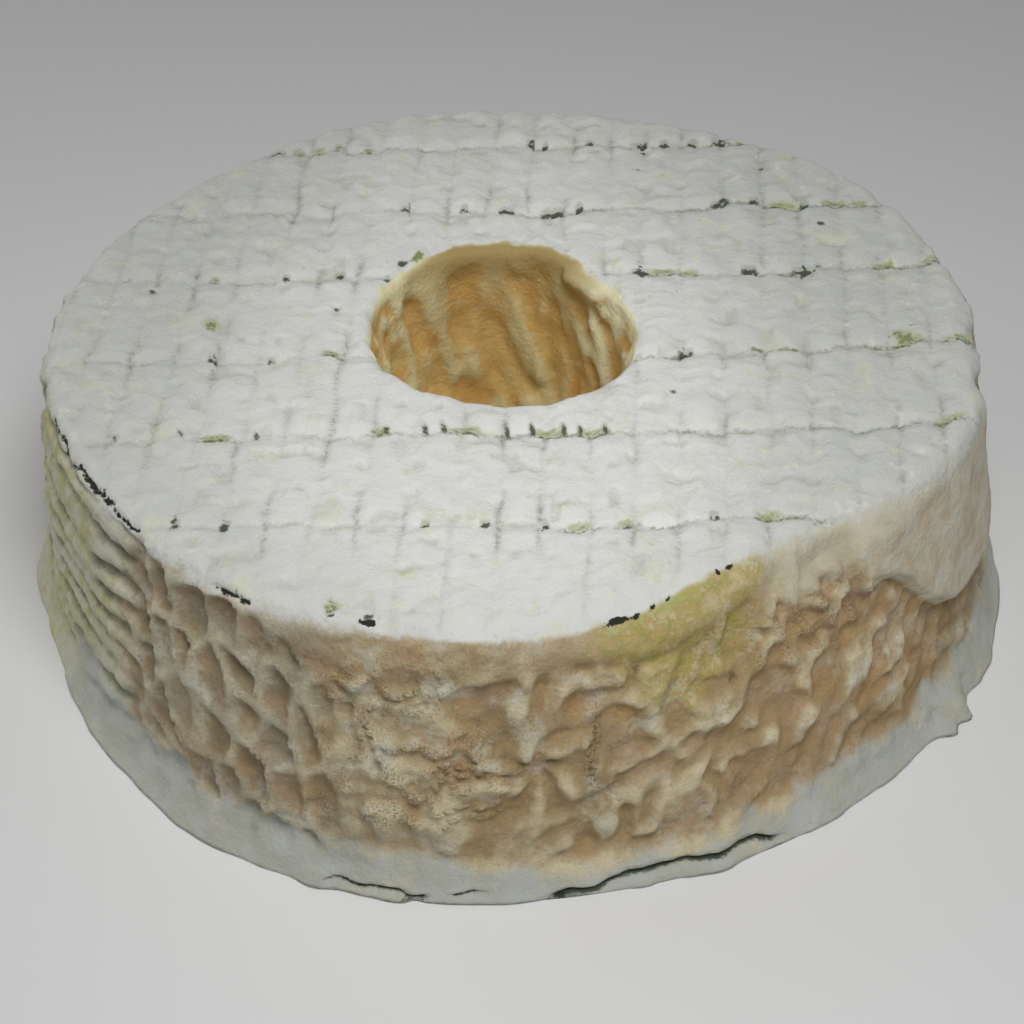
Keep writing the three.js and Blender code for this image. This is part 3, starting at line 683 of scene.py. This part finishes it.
print(len(rings), "rings,", sum(n for _, n in rings), "points")


# %% Joining the rings
def join_rings(first, second):
    """The faces between two rings, seen from outside with the second above the first."""
    (start_a, count_a), (start_b, count_b) = first, second
    if count_a == count_b:
        k = np.arange(count_a)
        after = (k + 1) % count_a
        return np.stack([start_a + k, start_a + after, start_b + after, start_b + k], 1).tolist()
    faces, a, b = [], 0, 0
    while a < count_a or b < count_b:
        here, there = start_a + a % count_a, start_b + b % count_b
        if b >= count_b or (a < count_a and (a + 1) * count_b <= (b + 1) * count_a):
            a += 1
            faces.append([here, start_a + a % count_a, there])
        else:
            b += 1
            faces.append([here, start_b + b % count_b, there])
    return faces


faces = []
for first, second in zip(rings, rings[1:] + rings[:1]):
    faces += join_rings(first, second)
places = np.concatenate(skin["places"]) * MM
mesh = bpy.data.meshes.new("cheese_rind")
mesh.from_pydata(places.tolist(), [], faces)
mesh.validate()
mesh.shade_smooth()
cheese = bpy.data.objects.new("cheese_rind", mesh)
bpy.context.scene.collection.objects.link(cheese)
triangles = sum(len(f) - 2 for f in faces)
print(len(mesh.vertices), "points and", triangles, "triangles in one skin")

# %% [markdown]
# ## Where each colour lies
#
# The rind is cool white on top, greyed away from the front middle as painted shade, with pale ridges and brown
# pits on the wall that are darkened further as painted shade, a grey-white foot, ochre where the shoulder slumped,
# and mould in the creases, which also get painted shade. The hole has painted light and painted shade, a band low
# on the front wall is painted shade, and the cracks and the foot's slit hold painted shadow. Each is a mask or a
# distance in millimetres kept on the points. The finish breaks their soft edges with fine noise, so they look
# grown, not sprayed.

# %% Masks
part, angle, way = (np.concatenate(skin[name]) for name in ("part", "angle", "way"))
x, y, z = (places / MM).T
round_x = round_wall(angle)
on_wall = np.isin(part, ["foot", "wall"]).astype(float)
on_top = np.isin(part, ["top", "edge"]).astype(float)
outside = np.maximum(on_wall, part == "shoulder")
WHITE_EDGE = [-3.5, -3, -3, -3, -3, -3, -3, -3, -3, -2.2, -2.0, -3.0, -2.8, -2.1, -3.9, -2.3, -3.4, -4]
FOOT_TOPS = [5, 5, 5, 5, 5, 5, 5, 5, 5, 5.5, 8.2, 6.4, 5.2, 4.9, 2.9, 3.8, 4.8, 4.8]
EDGE_SOFT, EDGE_CRISP, CRISP_ZONE = 1.8, 0.45, (278, 26, 20)
HOLE_SPREAD, SPREAD_ZONE = (0.4, 1.1), (88, 34, 24)
HOLE_RIGHT_ZONE, HOLE_FAR_ZONE = (0, 50, 50), (90, 45, 45)
FOOTLESS_ZONE, GREEN_FOLD_ZONE, LOW_ZONE = (190, 14, 12), (200, 20, 12), (275, 50, 30)
RIM_GREEN_ZONE, CREAM_ZONE, WARM_ZONE, SANDY_ZONE = (290, 9, 16), (314, 15, 14), (316, 22, 22), (256, 10, 9)
SPECKLED_ANGLE, OCHRE_ANGLE, PAINTED_LIGHT_Y = 279, 291, -18
WALL_SPOTS = [(283.9, 25.0, 0.8), (296.7, 19.8, 0.9), (295.2, 28.3, 0.8)]
RIM_BLOBS = [(281.8, 1.2), (284.3, 0.5), (286.6, 0.3), (288.8, 0.35), (296.4, 0.3), (298.2, 0.5)]
white_edge = radius_at(WHITE_EDGE, angle)
edge_blur = EDGE_SOFT - (EDGE_SOFT - EDGE_CRISP) * in_zone(angle, CRISP_ZONE)
hole_angle = np.degrees(np.arctan2(y - HOLE_Y, x - HOLE_X))
hole_gap = np.hypot(x - HOLE_X, y - HOLE_Y) - radius_at(HOLE_RADII, hole_angle)
hole_spread = HOLE_SPREAD[0] + HOLE_SPREAD[1] * in_zone(hole_angle, SPREAD_ZONE)
in_hole = on_top * (1 - smooth(hole_spread - 0.6, hole_spread + 0.6, hole_gap))
in_hole = np.maximum(in_hole, (part == "edge") * smooth(0.5, 1.5, HEIGHT - z))
in_hole = np.where(part == "hole", 1.0, in_hole)
depth = np.where(outside > 0, wall_depth(angle, z), np.where(part == "hole", hole_folds(angle, z), 0.3))
foot_top = radius_at(FOOT_TOPS, angle) + 0.8 * wall_lumps(round_x, 0, 4, 102)
ochre_away = np.hypot(apart(angle, OCHRE_ANGLE) / 13, (way + 2) / 15)
tongue = on_tongue(angle, z)
calm_band = in_zone(angle, CALM_BAND_ZONE) * smooth(HEIGHT - 8, HEIGHT - 4, z) * outside
spots = [groove(np.hypot(round_wall(apart(angle, a)), z - up), size) for a, up, size in WALL_SPOTS]
# Distance from the middle of a painted pool of light on the upper face; the face is painted greyer away from it.
from_painted_light_middle = np.hypot(x * np.where(x > 0, 1.15, 1) + 1, np.where(y > PAINTED_LIGHT_Y, 0.5, 1) * (y - PAINTED_LIGHT_Y))
masks = {
    "edge_share": np.clip((way - white_edge) / edge_blur, -9, 9),
    "edge_off": np.clip(way - white_edge, -9, 9),
    "in_hole": in_hole,
    # Painted light on the hole's right wall, painted shade on its far wall and along the far wall's top.
    "hole_right": in_hole * in_zone(angle, HOLE_RIGHT_ZONE),
    "hole_far": in_hole * in_zone(angle, HOLE_FAR_ZONE),
    "hole_rim": in_hole * (1 - smooth(1, 6, HEIGHT - z)),
    "pit": np.clip(depth / np.where(part == "hole", 1.7, 1.2) + 0.5 * calm_band, 0, 1),
    "foot": on_wall * (1 - smooth(foot_top - 1.8, foot_top + 1.4, z)) * (1 - in_zone(angle, FOOTLESS_ZONE)),
    "tan": within((236, 264), (322, 345), angle),
    "level_folds": in_zone(angle, GREEN_FOLD_ZONE) * outside,
    "ochre": 1 - smooth(0.6, 1.3, ochre_away),
    "rim_green": in_zone(angle, RIM_GREEN_ZONE) * groove(way - white_edge + 0.4, 0.8),
    # A band low on the front wall that is darkened as painted shade.
    "low": groove(z - 6.5, 3.2) * on_wall * in_zone(angle, LOW_ZONE),
    "dent": smooth(0.35, 0.85, lumps(x, y, 2.0, 85)) * on_top,
    "speckled": groove(apart(angle, SPECKLED_ANGLE) + 0.8 * wall_lumps(round_x, z, 5, 92), 0.6)
    * within((9, 13), (20, 24), z),
    "cream": in_zone(angle, CREAM_ZONE) * smooth(-12, -5, way),
    "wall_spot": np.maximum.reduce(spots) * on_wall,
    "lip": groove(tongue - 0.45, 0.35) * within((315, 322), (335, 345), angle) * on_wall,
    "top_painted_falloff": smooth(10, 50, from_painted_light_middle),
    "nested": nested_ridges(angle, z) * on_wall,
    "tongue": tongue * outside,
    "warm": in_zone(angle, WARM_ZONE) * (1 - tongue) * outside,
    "sandy": in_zone(angle, SANDY_ZONE) * outside,
    "slit": slit(angle, z) * on_wall,
    "crack_away": crack_away(angle, way),
    "blob_along": np.minimum.reduce([np.abs(round_wall(apart(angle, a))) / half for a, half in RIM_BLOBS]),
}
print("masks:", ", ".join(masks))

# %% [markdown]
# ## Mould in the creases
#
# Green and near-black mould grew where the threads kept the face moist. Each point of the face knows how far
# the nearest thread and straw are, and how much mould lies along that thread just here: a mark is given by how
# far across it lies and how long it is. A stroke stands upright, and its length is its height. The finish draws
# them from that, so their edges are finer than the mesh.

# %% Marks along the threads and off them
THREAD_MARKS = [
    {"dark": [(-29, 1.6), (-26.5, 1.4), (2, 0.8), (3.8, 0.6), (9.3, 0.9), (15.5, 2.2), (18.5, 1.2), (22, 1.3),
              (25.5, 2.2)],
     "green": [(-24, 1.2), (-21.5, 1.4), (-18, 1.2), (28, 1), (31, 2.5)]},
    {"dark": [(-13, 1), (-6, 0.7), (-1, 2), (4.5, 2.8), (7.7, 0.8), (24.5, 2.4), (28.5, 1), (34.5, 1)],
     "green": [(32, 3.6), (38, 3), (41, 2)]},
    {"dark": [(-26, 0.6), (-20, 1.2), (14.5, 2), (27, 2), (33.5, 3.5)],
     "green": [(-34, 0.9), (17, 3), (20, 2), (42.5, 2.5), (48.5, 3)]},
    {"dark": [(-33, 0.8), (-26.5, 0.8), (18.7, 1.5)],
     "green": [(-20, 2), (43.5, 3), (49, 3.5)]},
    {"green": [(-31.2, 3.6), (-14.2, 1.8), (-5.2, 3.8), (3.6, 3.4), (8.3, 3), (46, 3.4)],
     "stroke": [(-41.6, 0.9), (-34.8, 0.9), (-26.9, 1.3), (-13.4, 1.2), (-9.3, 1.9), (-7.3, 1.8), (-0.7, 2.1),
                (2, 1.3), (5.3, 1.3), (7, 1), (9.6, 1.3)]},
    {"dark": [(-34, 0.8), (-29, 1), (-9, 0.7), (-3, 0.8), (3, 0.7), (20, 0.9)],
     "green": [(6.5, 2.6), (11, 1.4), (25.5, 3), (35, 2.4)]}]
LOOSE_MARKS = {"dark": [(-12.8, 13.2, 0.9), (-14.5, 10, 0.7), (8, 12, 0.9), (-20, 4, 0.5), (-41, 7.5, 0.6),
                        (17, -11.5, 0.5), (30, 34, 0.4), (15, 33.5, 0.4), (36, 21.5, 0.5), (-14, -47, 0.6)],
               "green": [(-33.5, 1, 1.2), (43, -1.5, 1.4), (-11, 14.2, 1.0), (-17.5, -45.5, 0.9)]}
MARK_OFFSET, GREEN_OFFSET, TICK_UP, TICK_SLOPE = 0.25, 0.5, 1.3, 1.5
STROKE_HALF, STROKE_SLANT, STROKE_MIDDLE = 0.32, -0.2, 0.6
FAR = 9.0


def along(marks):
    """1 where a mark lies along its thread, 0 beyond its ends."""
    ends = [np.exp(-((np.abs(x - across) / (0.5 * length + 0.2)) ** 4)) for across, length in marks]
    return np.maximum.reduce([0 * x] + ends)


def thread_masks():
    """For each point: how far its nearest thread and mark are, and how much mould lies along that thread."""
    found = dict.fromkeys(("thread_away", "green_away", "tick_away", "stroke_away"), 0 * x + FAR)
    found |= dict.fromkeys(("dark_along", "green_along", "thread_firm"), 0 * x)
    for number, (y0, marks) in enumerate(zip(THREADS, THREAD_MARKS)):
        off = y - thread_line(y0, x)
        for across, length in marks.get("stroke", []):
            aside = (x - across - STROKE_SLANT * off) / STROKE_HALF
            away = np.hypot(aside, 2 * (off - STROKE_MIDDLE) / length)
            found["stroke_away"] = np.minimum(found["stroke_away"], away)
        tick = straw_away(x, y) + TICK_SLOPE * np.maximum(0, np.abs(off - MARK_OFFSET) - TICK_UP)
        here = {
            "thread_away": np.abs(off),
            "green_away": np.abs(off - GREEN_OFFSET),
            "tick_away": np.minimum(np.abs(off - MARK_OFFSET), tick),
            "dark_along": along(marks.get("dark", [])) * shown,
            "green_along": along(marks["green"]) * shown,
            "thread_firm": thread_strength(number, x) * shown,
        }
        nearer = here["thread_away"] < found["thread_away"]
        found |= {name: np.where(nearer, values, found[name]) for name, values in here.items()}
    return found


def loose(kind):
    spots = [groove(np.hypot(x - across, y - back), size) for across, back, size in LOOSE_MARKS[kind]]
    return np.maximum.reduce(spots) * shown


shown = smooth(white_edge, white_edge + 1.2, way) * (1 - in_hole)
masks |= thread_masks()
masks |= {"dark_spot": loose("dark"), "green_spot": loose("green")}
masks |= {"straw_away": straw_away(x, y), "straw_firm": straw_strength(x, y) * shown}
for name, values in masks.items():
    layer = mesh.attributes.new(name, "FLOAT", "POINT")
    layer.data.foreach_set("value", values.astype(np.float32))
print(len(masks), "masks are kept on the points")

# %% [markdown]
# ## The rind's finish
#
# A natural rind is matte, a little translucent, finely grained and never one colour. Each mask lays its colour
# over what is under it. A picture of a rind would stretch over the folds; noise in the cheese's space doesn't.

# %% Small helpers for building the finish
rind = bpy.data.materials.new("cheese_rind")
rind.use_nodes = True
nodes, links = rind.node_tree.nodes, rind.node_tree.links
nodes.clear()
place_node = nodes.new("ShaderNodeTexCoord")


def sock(node, name, value):
    """Sets a socket to a number, or joins it to another node's result."""
    if isinstance(value, bpy.types.NodeSocket):
        links.new(value, node.inputs[name])
    else:
        node.inputs[name].default_value = value


def noise(size_mm, detail):
    node = nodes.new("ShaderNodeTexNoise")
    links.new(place_node.outputs["Object"], node.inputs["Vector"])
    node.inputs["Scale"].default_value = 1 / (size_mm * MM)
    node.inputs["Detail"].default_value = detail
    node.inputs["Roughness"].default_value = 0.55
    return node.outputs["Fac"]


def mask(name):
    node = nodes.new("ShaderNodeAttribute")
    node.attribute_name = name
    return node.outputs["Fac"]


def calc(operation, a, b=0.0, c=0.0):
    node = nodes.new("ShaderNodeMath")
    node.operation = operation
    for k, value in enumerate((a, b, c)):
        sock(node, k, value)
    return node.outputs[0]


def times(a, b):
    return calc("MULTIPLY", a, b)


def plus(a, b, *more):
    return calc("ADD", a, plus(b, *more) if more else b)


def between(value, low, high):
    """0 below low, 1 above high, smooth between."""
    node = nodes.new("ShaderNodeMapRange")
    node.interpolation_type = "SMOOTHSTEP"
    sock(node, "Value", value)
    sock(node, "From Min", low)
    sock(node, "From Max", high)
    return node.outputs["Result"]


def rough_edge(name, grain, low, high, amount=0.5):
    """A mask whose edge is broken by noise."""
    return between(calc("MULTIPLY_ADD", calc("SUBTRACT", grain, 0.5), amount, mask(name)), low, high)


def centred(value, amount):
    """A noise moved to lie round 0, times an amount."""
    return times(calc("SUBTRACT", value, 0.5), amount)


def line(away, half_width, soft):
    """A ragged line where a distance is small."""
    return between(plus(mask(away), line_noise), half_width + soft, half_width - soft)


def srgb(red, green, blue):
    """A colour written as screen values from 0 to 255."""
    linear = [((v / 255 + 0.055) / 1.055) ** 2.4 if v > 10 else v / 3295 for v in (red, green, blue)]
    return (*linear, 1.0)


def lay(factor, under, over):
    """One colour laid over another by a factor."""
    node = nodes.new("ShaderNodeMix")
    node.data_type = "RGBA"
    sock(node, 0, factor)
    sock(node, 6, under)
    sock(node, 7, over)
    return node.outputs[2]


def coats(under, *layers):
    """Colours laid one over another. Each has its place, its strength there and its colour."""
    for place, strength, colour in layers:
        under = lay(times(place, strength), under, colour)
    return under


print("noise, masks and mixes are ready")

# %% The noises and colours of the rind
dust, grain, fleck = noise(0.22, 2), noise(0.5, 4), noise(1.2, 4)
blotch, cloud = noise(3.2, 4), noise(11.0, 3)
drift, veil, pallor = noise(5.0, 3), noise(7.3, 3), noise(4.1, 4)
mottle = calc("SUBTRACT", plus(grain, dust), 1.0)
speckle = plus(centred(fleck, 0.6), centred(grain, 0.5))
line_noise = plus(centred(grain, 0.9), centred(fleck, 1.0))
# Several colours below hold painted light or shade: the pit, deep-crease and fold-valley colours are partly painted
# shade, the low-wall brown, the top's grey falloff and the crease greys are painted shade, the hole has painted
# light on its right and painted shade on its far side, and the crack and slit darks are painted shadow.
WHITE, CREAM, STRAW_SHADE = srgb(240, 241, 236), srgb(232, 233, 214), srgb(178, 181, 170)
TOP_PAINTED_SHADE, TOP_TINT, CREASE_SHADE = srgb(210, 212, 206), srgb(222, 224, 196), srgb(140, 146, 126)
RIDGE_GREY, PIT_GREY_AND_SHADE = srgb(202, 193, 166), srgb(154, 138, 108)
RIDGE_TAN, PIT_TAN_AND_SHADE = srgb(216, 204, 170), srgb(168, 146, 106)
PINK_BROWN, ORANGE_BROWN, GRAIN_BROWN = srgb(184, 152, 122), srgb(184, 148, 96), srgb(110, 94, 66)
DEEP_BROWN_AND_SHADE, LOW_PAINTED_SHADE, SPECK_BROWN = srgb(120, 100, 72), srgb(138, 122, 94), srgb(78, 70, 48)
BLOOM, BLOOM_GREY = srgb(214, 214, 200), srgb(172, 170, 150)
FOOT, FOOT_BLUE = srgb(178, 180, 168), srgb(182, 186, 180)
FOLD_PALE, FOLD_GREY_AND_SHADE, FOLD_GREEN = srgb(200, 199, 180), srgb(136, 137, 114), srgb(182, 180, 122)
OCHRE, OLIVE, WARM = srgb(190, 168, 102), srgb(166, 162, 84), srgb(176, 144, 104)
TONGUE_PALE, TONGUE_PINK, SLUMP_CREAM = srgb(206, 202, 182), srgb(198, 184, 158), srgb(204, 201, 180)
LIP_PALE, RIM_GREEN, SAND = srgb(216, 214, 198), srgb(176, 178, 92), srgb(220, 213, 184)
HOLE_PALE, HOLE_DEEP_TONE_AND_SHADE = srgb(253, 250, 208), srgb(241, 204, 134)
HOLE_LIT, HOLE_SHADE, HOLE_ORANGE = srgb(254, 252, 212), srgb(190, 158, 90), srgb(234, 177, 98)
HOLE_GREEN, HOLE_RIM_TONE_AND_SHADE = srgb(229, 225, 160), srgb(172, 145, 86)
GREEN_MOULD, OLIVE_MOULD, DARK_MOULD = srgb(178, 184, 120), srgb(118, 128, 76), srgb(62, 68, 52)
DENT_GREEN_AND_SHADE, NEAR_BLACK, SLIT_SHADE_GREEN = srgb(186, 190, 168), srgb(46, 48, 40), srgb(78, 86, 70)

# %% The wall: ridges and pits, folds, ochre, tongue and foot
# The deeper a place, the darker its colour: partly the rind's own browner tone, partly painted shade in pits and
# creases.
depth_tone_and_shade = plus(mask("pit"), centred(blotch, 0.9), speckle)
in_pit = between(depth_tone_and_shade, 0.0, 0.85)
tan = rough_edge("tan", cloud, 0.2, 0.8, 1.0)
grey_patch = times(between(veil, 0.5, 0.36), calc("SUBTRACT", 1.0, tan))
bloomed = between(plus(pallor, centred(grain, 0.3)), 0.52, 0.66)
green_film = times(between(cloud, 0.42, 0.6), between(plus(fleck, blotch), 0.8, 1.1))
folds = lay(times(green_film, 0.8), FOLD_PALE, FOLD_GREEN)
folds = lay(between(depth_tone_and_shade, 0.25, 0.85), folds, FOLD_GREY_AND_SHADE)
mottled = lay(between(plus(fleck, times(mottle, 0.7)), 0.46, 0.62), OCHRE, OLIVE)
mottled = lay(times(between(plus(blotch, grain), 1.02, 1.2), 0.7), mottled, RIDGE_TAN)
patch = plus(centred(drift, 1.6), centred(blotch, 1.3), centred(fleck, 0.8))
tongue_colour = lay(between(blotch, 0.42, 0.65), TONGUE_PALE, TONGUE_PINK)
foot_edge = plus(mask("foot"), centred(drift, 1.6), centred(blotch, 1.0), speckle)
foot_colour = lay(between(pallor, 0.4, 0.62), FOOT, FOOT_BLUE)
wall = coats(
    lay(in_pit, lay(tan, RIDGE_GREY, RIDGE_TAN), lay(tan, PIT_GREY_AND_SHADE, PIT_TAN_AND_SHADE)),
    (between(drift, 0.48, 0.64), times(in_pit, 0.55), PINK_BROWN),
    (between(veil, 0.52, 0.66), times(in_pit, 0.55), ORANGE_BROWN),
    (between(depth_tone_and_shade, 0.9, 1.3), 0.5, DEEP_BROWN_AND_SHADE),
    (grey_patch, 0.4, BLOOM_GREY),
    (bloomed, calc("MULTIPLY_ADD", in_pit, -0.3, 0.65), BLOOM),
    (between(mottle, -0.08, -0.24), 0.3, GRAIN_BROWN),
    # Painted shade on the lower front wall.
    (mask("low"), 0.22, LOW_PAINTED_SHADE),
    (rough_edge("level_folds", blotch, 0.2, 0.9, 1.2), 0.9, folds),
    (rough_edge("warm", blotch, 0.4, 1.1, 1.2), times(in_pit, 0.4), WARM),
    (rough_edge("cream", blotch, 0.2, 1.0, 1.2), 0.7, SLUMP_CREAM),
    (between(plus(mask("ochre"), patch), 0.25, 0.95), 0.8, mottled),
    (rough_edge("tongue", fleck, 0.2, 0.8), 1.0, tongue_colour),
    (rough_edge("lip", fleck, 0.4, 0.9, 0.8), 0.8, LIP_PALE),
    (between(foot_edge, 0.1, 1.0), 0.95, foot_colour))
print("the wall has its colours")

# %% The hole
# The hole's creases are deeper ochre: partly the rind's tone, partly painted shade.
hole_depth_tone_and_shade = plus(mask("pit"), centred(pallor, 1.4), centred(fleck, 0.6))
hole = coats(
    lay(between(hole_depth_tone_and_shade, 0.3, 0.8), HOLE_PALE, HOLE_DEEP_TONE_AND_SHADE),
    (times(between(drift, 0.44, 0.66), between(hole_depth_tone_and_shade, 0.4, 0.9)), 0.75, HOLE_ORANGE),
    (between(veil, 0.5, 0.66), 0.4, HOLE_GREEN),
    # Painted light on the right wall, painted shade on the far wall, and on its top band partly brown tone, partly
    # painted shade.
    (mask("hole_right"), times(between(hole_depth_tone_and_shade, 0.9, 0.3), 0.8), HOLE_LIT),
    (mask("hole_far"), 0.55, HOLE_SHADE),
    (times(mask("hole_rim"), mask("hole_far")), 0.8, HOLE_RIM_TONE_AND_SHADE))
print("the hole has its colours")

# %% The white face, its creases and their mould
straw_here = between(mask("straw_firm"), 0.05, 0.6)
# Where a thread's crease lies, as firm as the thread pressed in: its grey is painted shade, its olive is mould.
crease = times(line("thread_away", 0.2, 0.3), mask("thread_firm"))
green_wide = times(line("green_away", 0.36, 0.45), mask("green_along"))
green_any = calc("MAXIMUM", green_wide, calc("MULTIPLY_ADD", line_noise, 0.6, mask("green_spot")))
green_inside = plus(green_any, centred(plus(grain, fleck), 2.6))
green_inside = times(between(green_inside, 1.9, 2.5), between(green_any, 0.1, 0.4))
dark_spots = calc("MULTIPLY_ADD", line_noise, 0.7, mask("dark_spot"))
halo = calc("MAXIMUM", times(line("green_away", 0.6, 0.5), mask("dark_along")), dark_spots)
dark_any = calc("MAXIMUM", times(line("tick_away", 0.28, 0.22), mask("dark_along")), dark_spots)
top = coats(
    # The upper face greys towards its sides and back as painted shade.
    lay(rough_edge("top_painted_falloff", cloud, 0.0, 1.0, 0.5), WHITE, TOP_PAINTED_SHADE),
    (between(plus(blotch, fleck), 1.1, 1.3), 0.7, CREAM),
    # Grey-green in the dents: partly the rind's tint, partly painted shade.
    (between(times(mask("dent"), plus(fleck, grain)), 0.3, 1.5), 0.5, DENT_GREEN_AND_SHADE),
    (between(plus(drift, centred(grain, 0.4)), 0.56, 0.7), 0.5, TOP_TINT),
    # Grey lines along the straw and thread creases are painted shade.
    (line("straw_away", 0.3, 0.5), times(straw_here, 0.5), STRAW_SHADE),
    (line("straw_away", 0.1, 0.22), times(straw_here, 0.45), CREASE_SHADE),
    (crease, 0.7, CREASE_SHADE),
    (crease, times(between(plus(fleck, blotch), 0.88, 1.08), 0.85), OLIVE_MOULD),
    (between(green_any, 0.1, 0.9), 0.7, GREEN_MOULD),
    (green_inside, 0.75, OLIVE_MOULD),
    (line("thread_away", 0.14, 0.22), times(mask("green_along"), 0.8), DARK_MOULD),
    (between(halo, 0.2, 0.9), 0.35, OLIVE_MOULD),
    (between(dark_any, 0.4, 0.85), 0.88, DARK_MOULD),
    (line("stroke_away", 1.3, 0.7), 0.4, OLIVE_MOULD),
    (line("stroke_away", 0.85, 0.3), 0.85, DARK_MOULD))
print("the face has its colours")

# %% Everything together
BLOB_HALF = 0.3
fuzz = plus(centred(fleck, 0.9), centred(blotch, 0.8), centred(grain, 0.4))
hole_edge = plus(mask("in_hole"), centred(fleck, 1.2), centred(blotch, 1.0))
green_edge = between(plus(mask("rim_green"), fuzz, centred(drift, 2.0)), 0.35, 1.1)
blob_up = calc("POWER", calc("ABSOLUTE", calc("DIVIDE", mask("edge_off"), BLOB_HALF)), 2.0)
blob_away = calc("SQRT", plus(calc("POWER", mask("blob_along"), 2.0), blob_up))
blob_here = plus(blob_away, centred(grain, 2.0), centred(fleck, 2.0))
sand_here = plus(times(mask("sandy"), 0.35), times(mask("nested"), 0.65))
sand_here = between(plus(sand_here, centred(fleck, 0.8)), 0.3, 0.9)
dark_specks = between(plus(grain, centred(dust, 0.8)), 0.5, 0.56)
crack_here = plus(mask("crack_away"), centred(grain, 1.1), centred(fleck, 1.0))
skin_colour = coats(
    lay(between(calc("MULTIPLY_ADD", fuzz, 2.2, mask("edge_share")), -0.8, 0.8), wall, top),
    (between(hole_edge, 0.3, 0.75), 1.0, hole),
    (green_edge, 0.8, lay(between(fleck, 0.42, 0.6), RIM_GREEN, GREEN_MOULD)),
    (between(blob_here, 1.25, 0.75), 1.0, NEAR_BLACK),
    (between(dust, 0.54, 0.64), times(sand_here, 0.45), SAND),
    (mask("nested"), times(between(dust, 0.47, 0.4), 0.55), GRAIN_BROWN),
    (mask("speckled"), times(dark_specks, 0.75), SPECK_BROWN),
    (between(plus(mask("wall_spot"), centred(grain, 1.2)), 0.4, 0.9), 0.6, SPECK_BROWN),
    # Painted shadow in the cracks along the rim.
    (between(crack_here, 0.42, 0.2), 1.0, NEAR_BLACK),
    # Painted shadow in the foot's slit and nicks, with a green tint.
    (rough_edge("slit", grain, 0.3, 0.6, 0.5), 1.0, SLIT_SHADE_GREEN))
print(len(nodes), "nodes so far")

# %% Grain, sheen and the soft glow inside
coarse = calc("MULTIPLY_ADD", fleck, 0.5, calc("MULTIPLY", grain, 0.35))
bump_height = calc("MULTIPLY_ADD", dust, calc("MULTIPLY_ADD", sand_here, 0.25, 0.12), coarse)
bump = nodes.new("ShaderNodeBump")
for name, value in {"Strength": 0.7, "Distance": 0.6 * MM, "Height": bump_height}.items():
    sock(bump, name, value)
shader = nodes.new("ShaderNodeBsdfPrincipled")
finish = {"Base Color": skin_colour, "Normal": bump.outputs["Normal"], "Roughness": 0.85, "Specular IOR Level": 0.3,
          "Subsurface Weight": 0.06, "Subsurface Radius": (1.0, 0.7, 0.45), "Subsurface Scale": 0.0012}
for name, value in finish.items():
    sock(shader, name, value)
output = nodes.new("ShaderNodeOutputMaterial")
links.new(shader.outputs["BSDF"], output.inputs["Surface"])
mesh.materials.append(rind)
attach(cheese, "root")
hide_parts("cheese_ring")
print("the rind rides on the solid and stands for it")

# %% [markdown]
# ## Stage, light and camera
#
# A plain pale floor, one soft light above the front, a weak low one from the left and a weaker one from behind,
# and a grey sky. The camera stands where it stood for the photograph: about 40 degrees up, 29 cm away.

# %% The floor and the lights
FLOOR_SIZE = 6.0
floor_mesh = bpy.data.meshes.new("floor")
half = FLOOR_SIZE / 2
floor_mesh.from_pydata([(-half, -half, 0), (half, -half, 0), (half, half, 0), (-half, half, 0)], [], [(0, 1, 2, 3)])
floor = bpy.data.objects.new("floor", floor_mesh)
floor_finish = bpy.data.materials.new("floor")
floor_finish.use_nodes = True
floor_shader = floor_finish.node_tree.nodes["Principled BSDF"]
sock(floor_shader, "Base Color", srgb(232, 232, 232))
sock(floor_shader, "Roughness", 0.9)
floor_mesh.materials.append(floor_finish)
bpy.context.scene.collection.objects.link(floor)
floor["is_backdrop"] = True


def add_light(name, watts, size, spread, place, target):
    light = bpy.data.lights.new(name, "AREA")
    light.energy, light.size, light.spread = watts, size, math.radians(spread)
    lamp = bpy.data.objects.new(name, light)
    bpy.context.scene.collection.objects.link(lamp)
    lamp.location = place
    lamp.rotation_euler = (Vector(target) - Vector(place)).to_track_quat("-Z", "Y").to_euler()


add_light("key", 0.21, 0.16, 90, (0.04, -0.17, 0.32), (0, -0.045, 0.03))
add_light("fill", 0.7, 0.3, 180, (-0.40, 0.15, 0.06), (0, 0, 0.015))
add_light("back", 0.25, 0.25, 180, (0.24, 0.34, 0.05), (0, 0, 0.015))
world = bpy.data.worlds.new("sky")
bpy.context.scene.world = world
world.use_nodes = True
sky = world.node_tree.nodes["Background"]
sock(sky, "Color", (0.80, 0.82, 0.85, 1))
sock(sky, "Strength", 0.11)
bpy.context.scene.view_settings.view_transform = "Standard"
print("three lamps and a grey sky")

# %% The camera of the photograph
CAMERA_PLACE = (-0.0003, -0.21663, 0.18557)
CAMERA_PITCH = 39.76
LENS, SENSOR = 84.19, 36.0
camera = bpy.data.cameras.new("camera")
camera.lens, camera.sensor_width = LENS, SENSOR
camera_object = bpy.data.objects.new("camera", camera)
bpy.context.scene.collection.objects.link(camera_object)
camera_object.location = CAMERA_PLACE
camera_object.rotation_euler = (math.radians(90 - CAMERA_PITCH), 0, 0)
bpy.context.scene.camera = camera_object
print("camera", round(Vector(CAMERA_PLACE).length, 3), "m from the cheese")

# %% [markdown]
# ## The size
#
# The skin may not outgrow the solid that it stands for. Its box is written down.

# %% The skin's box, and the end
low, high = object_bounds()
print("skin box, mm:", [round(1000 * v, 1) for v in (*low, *high)])
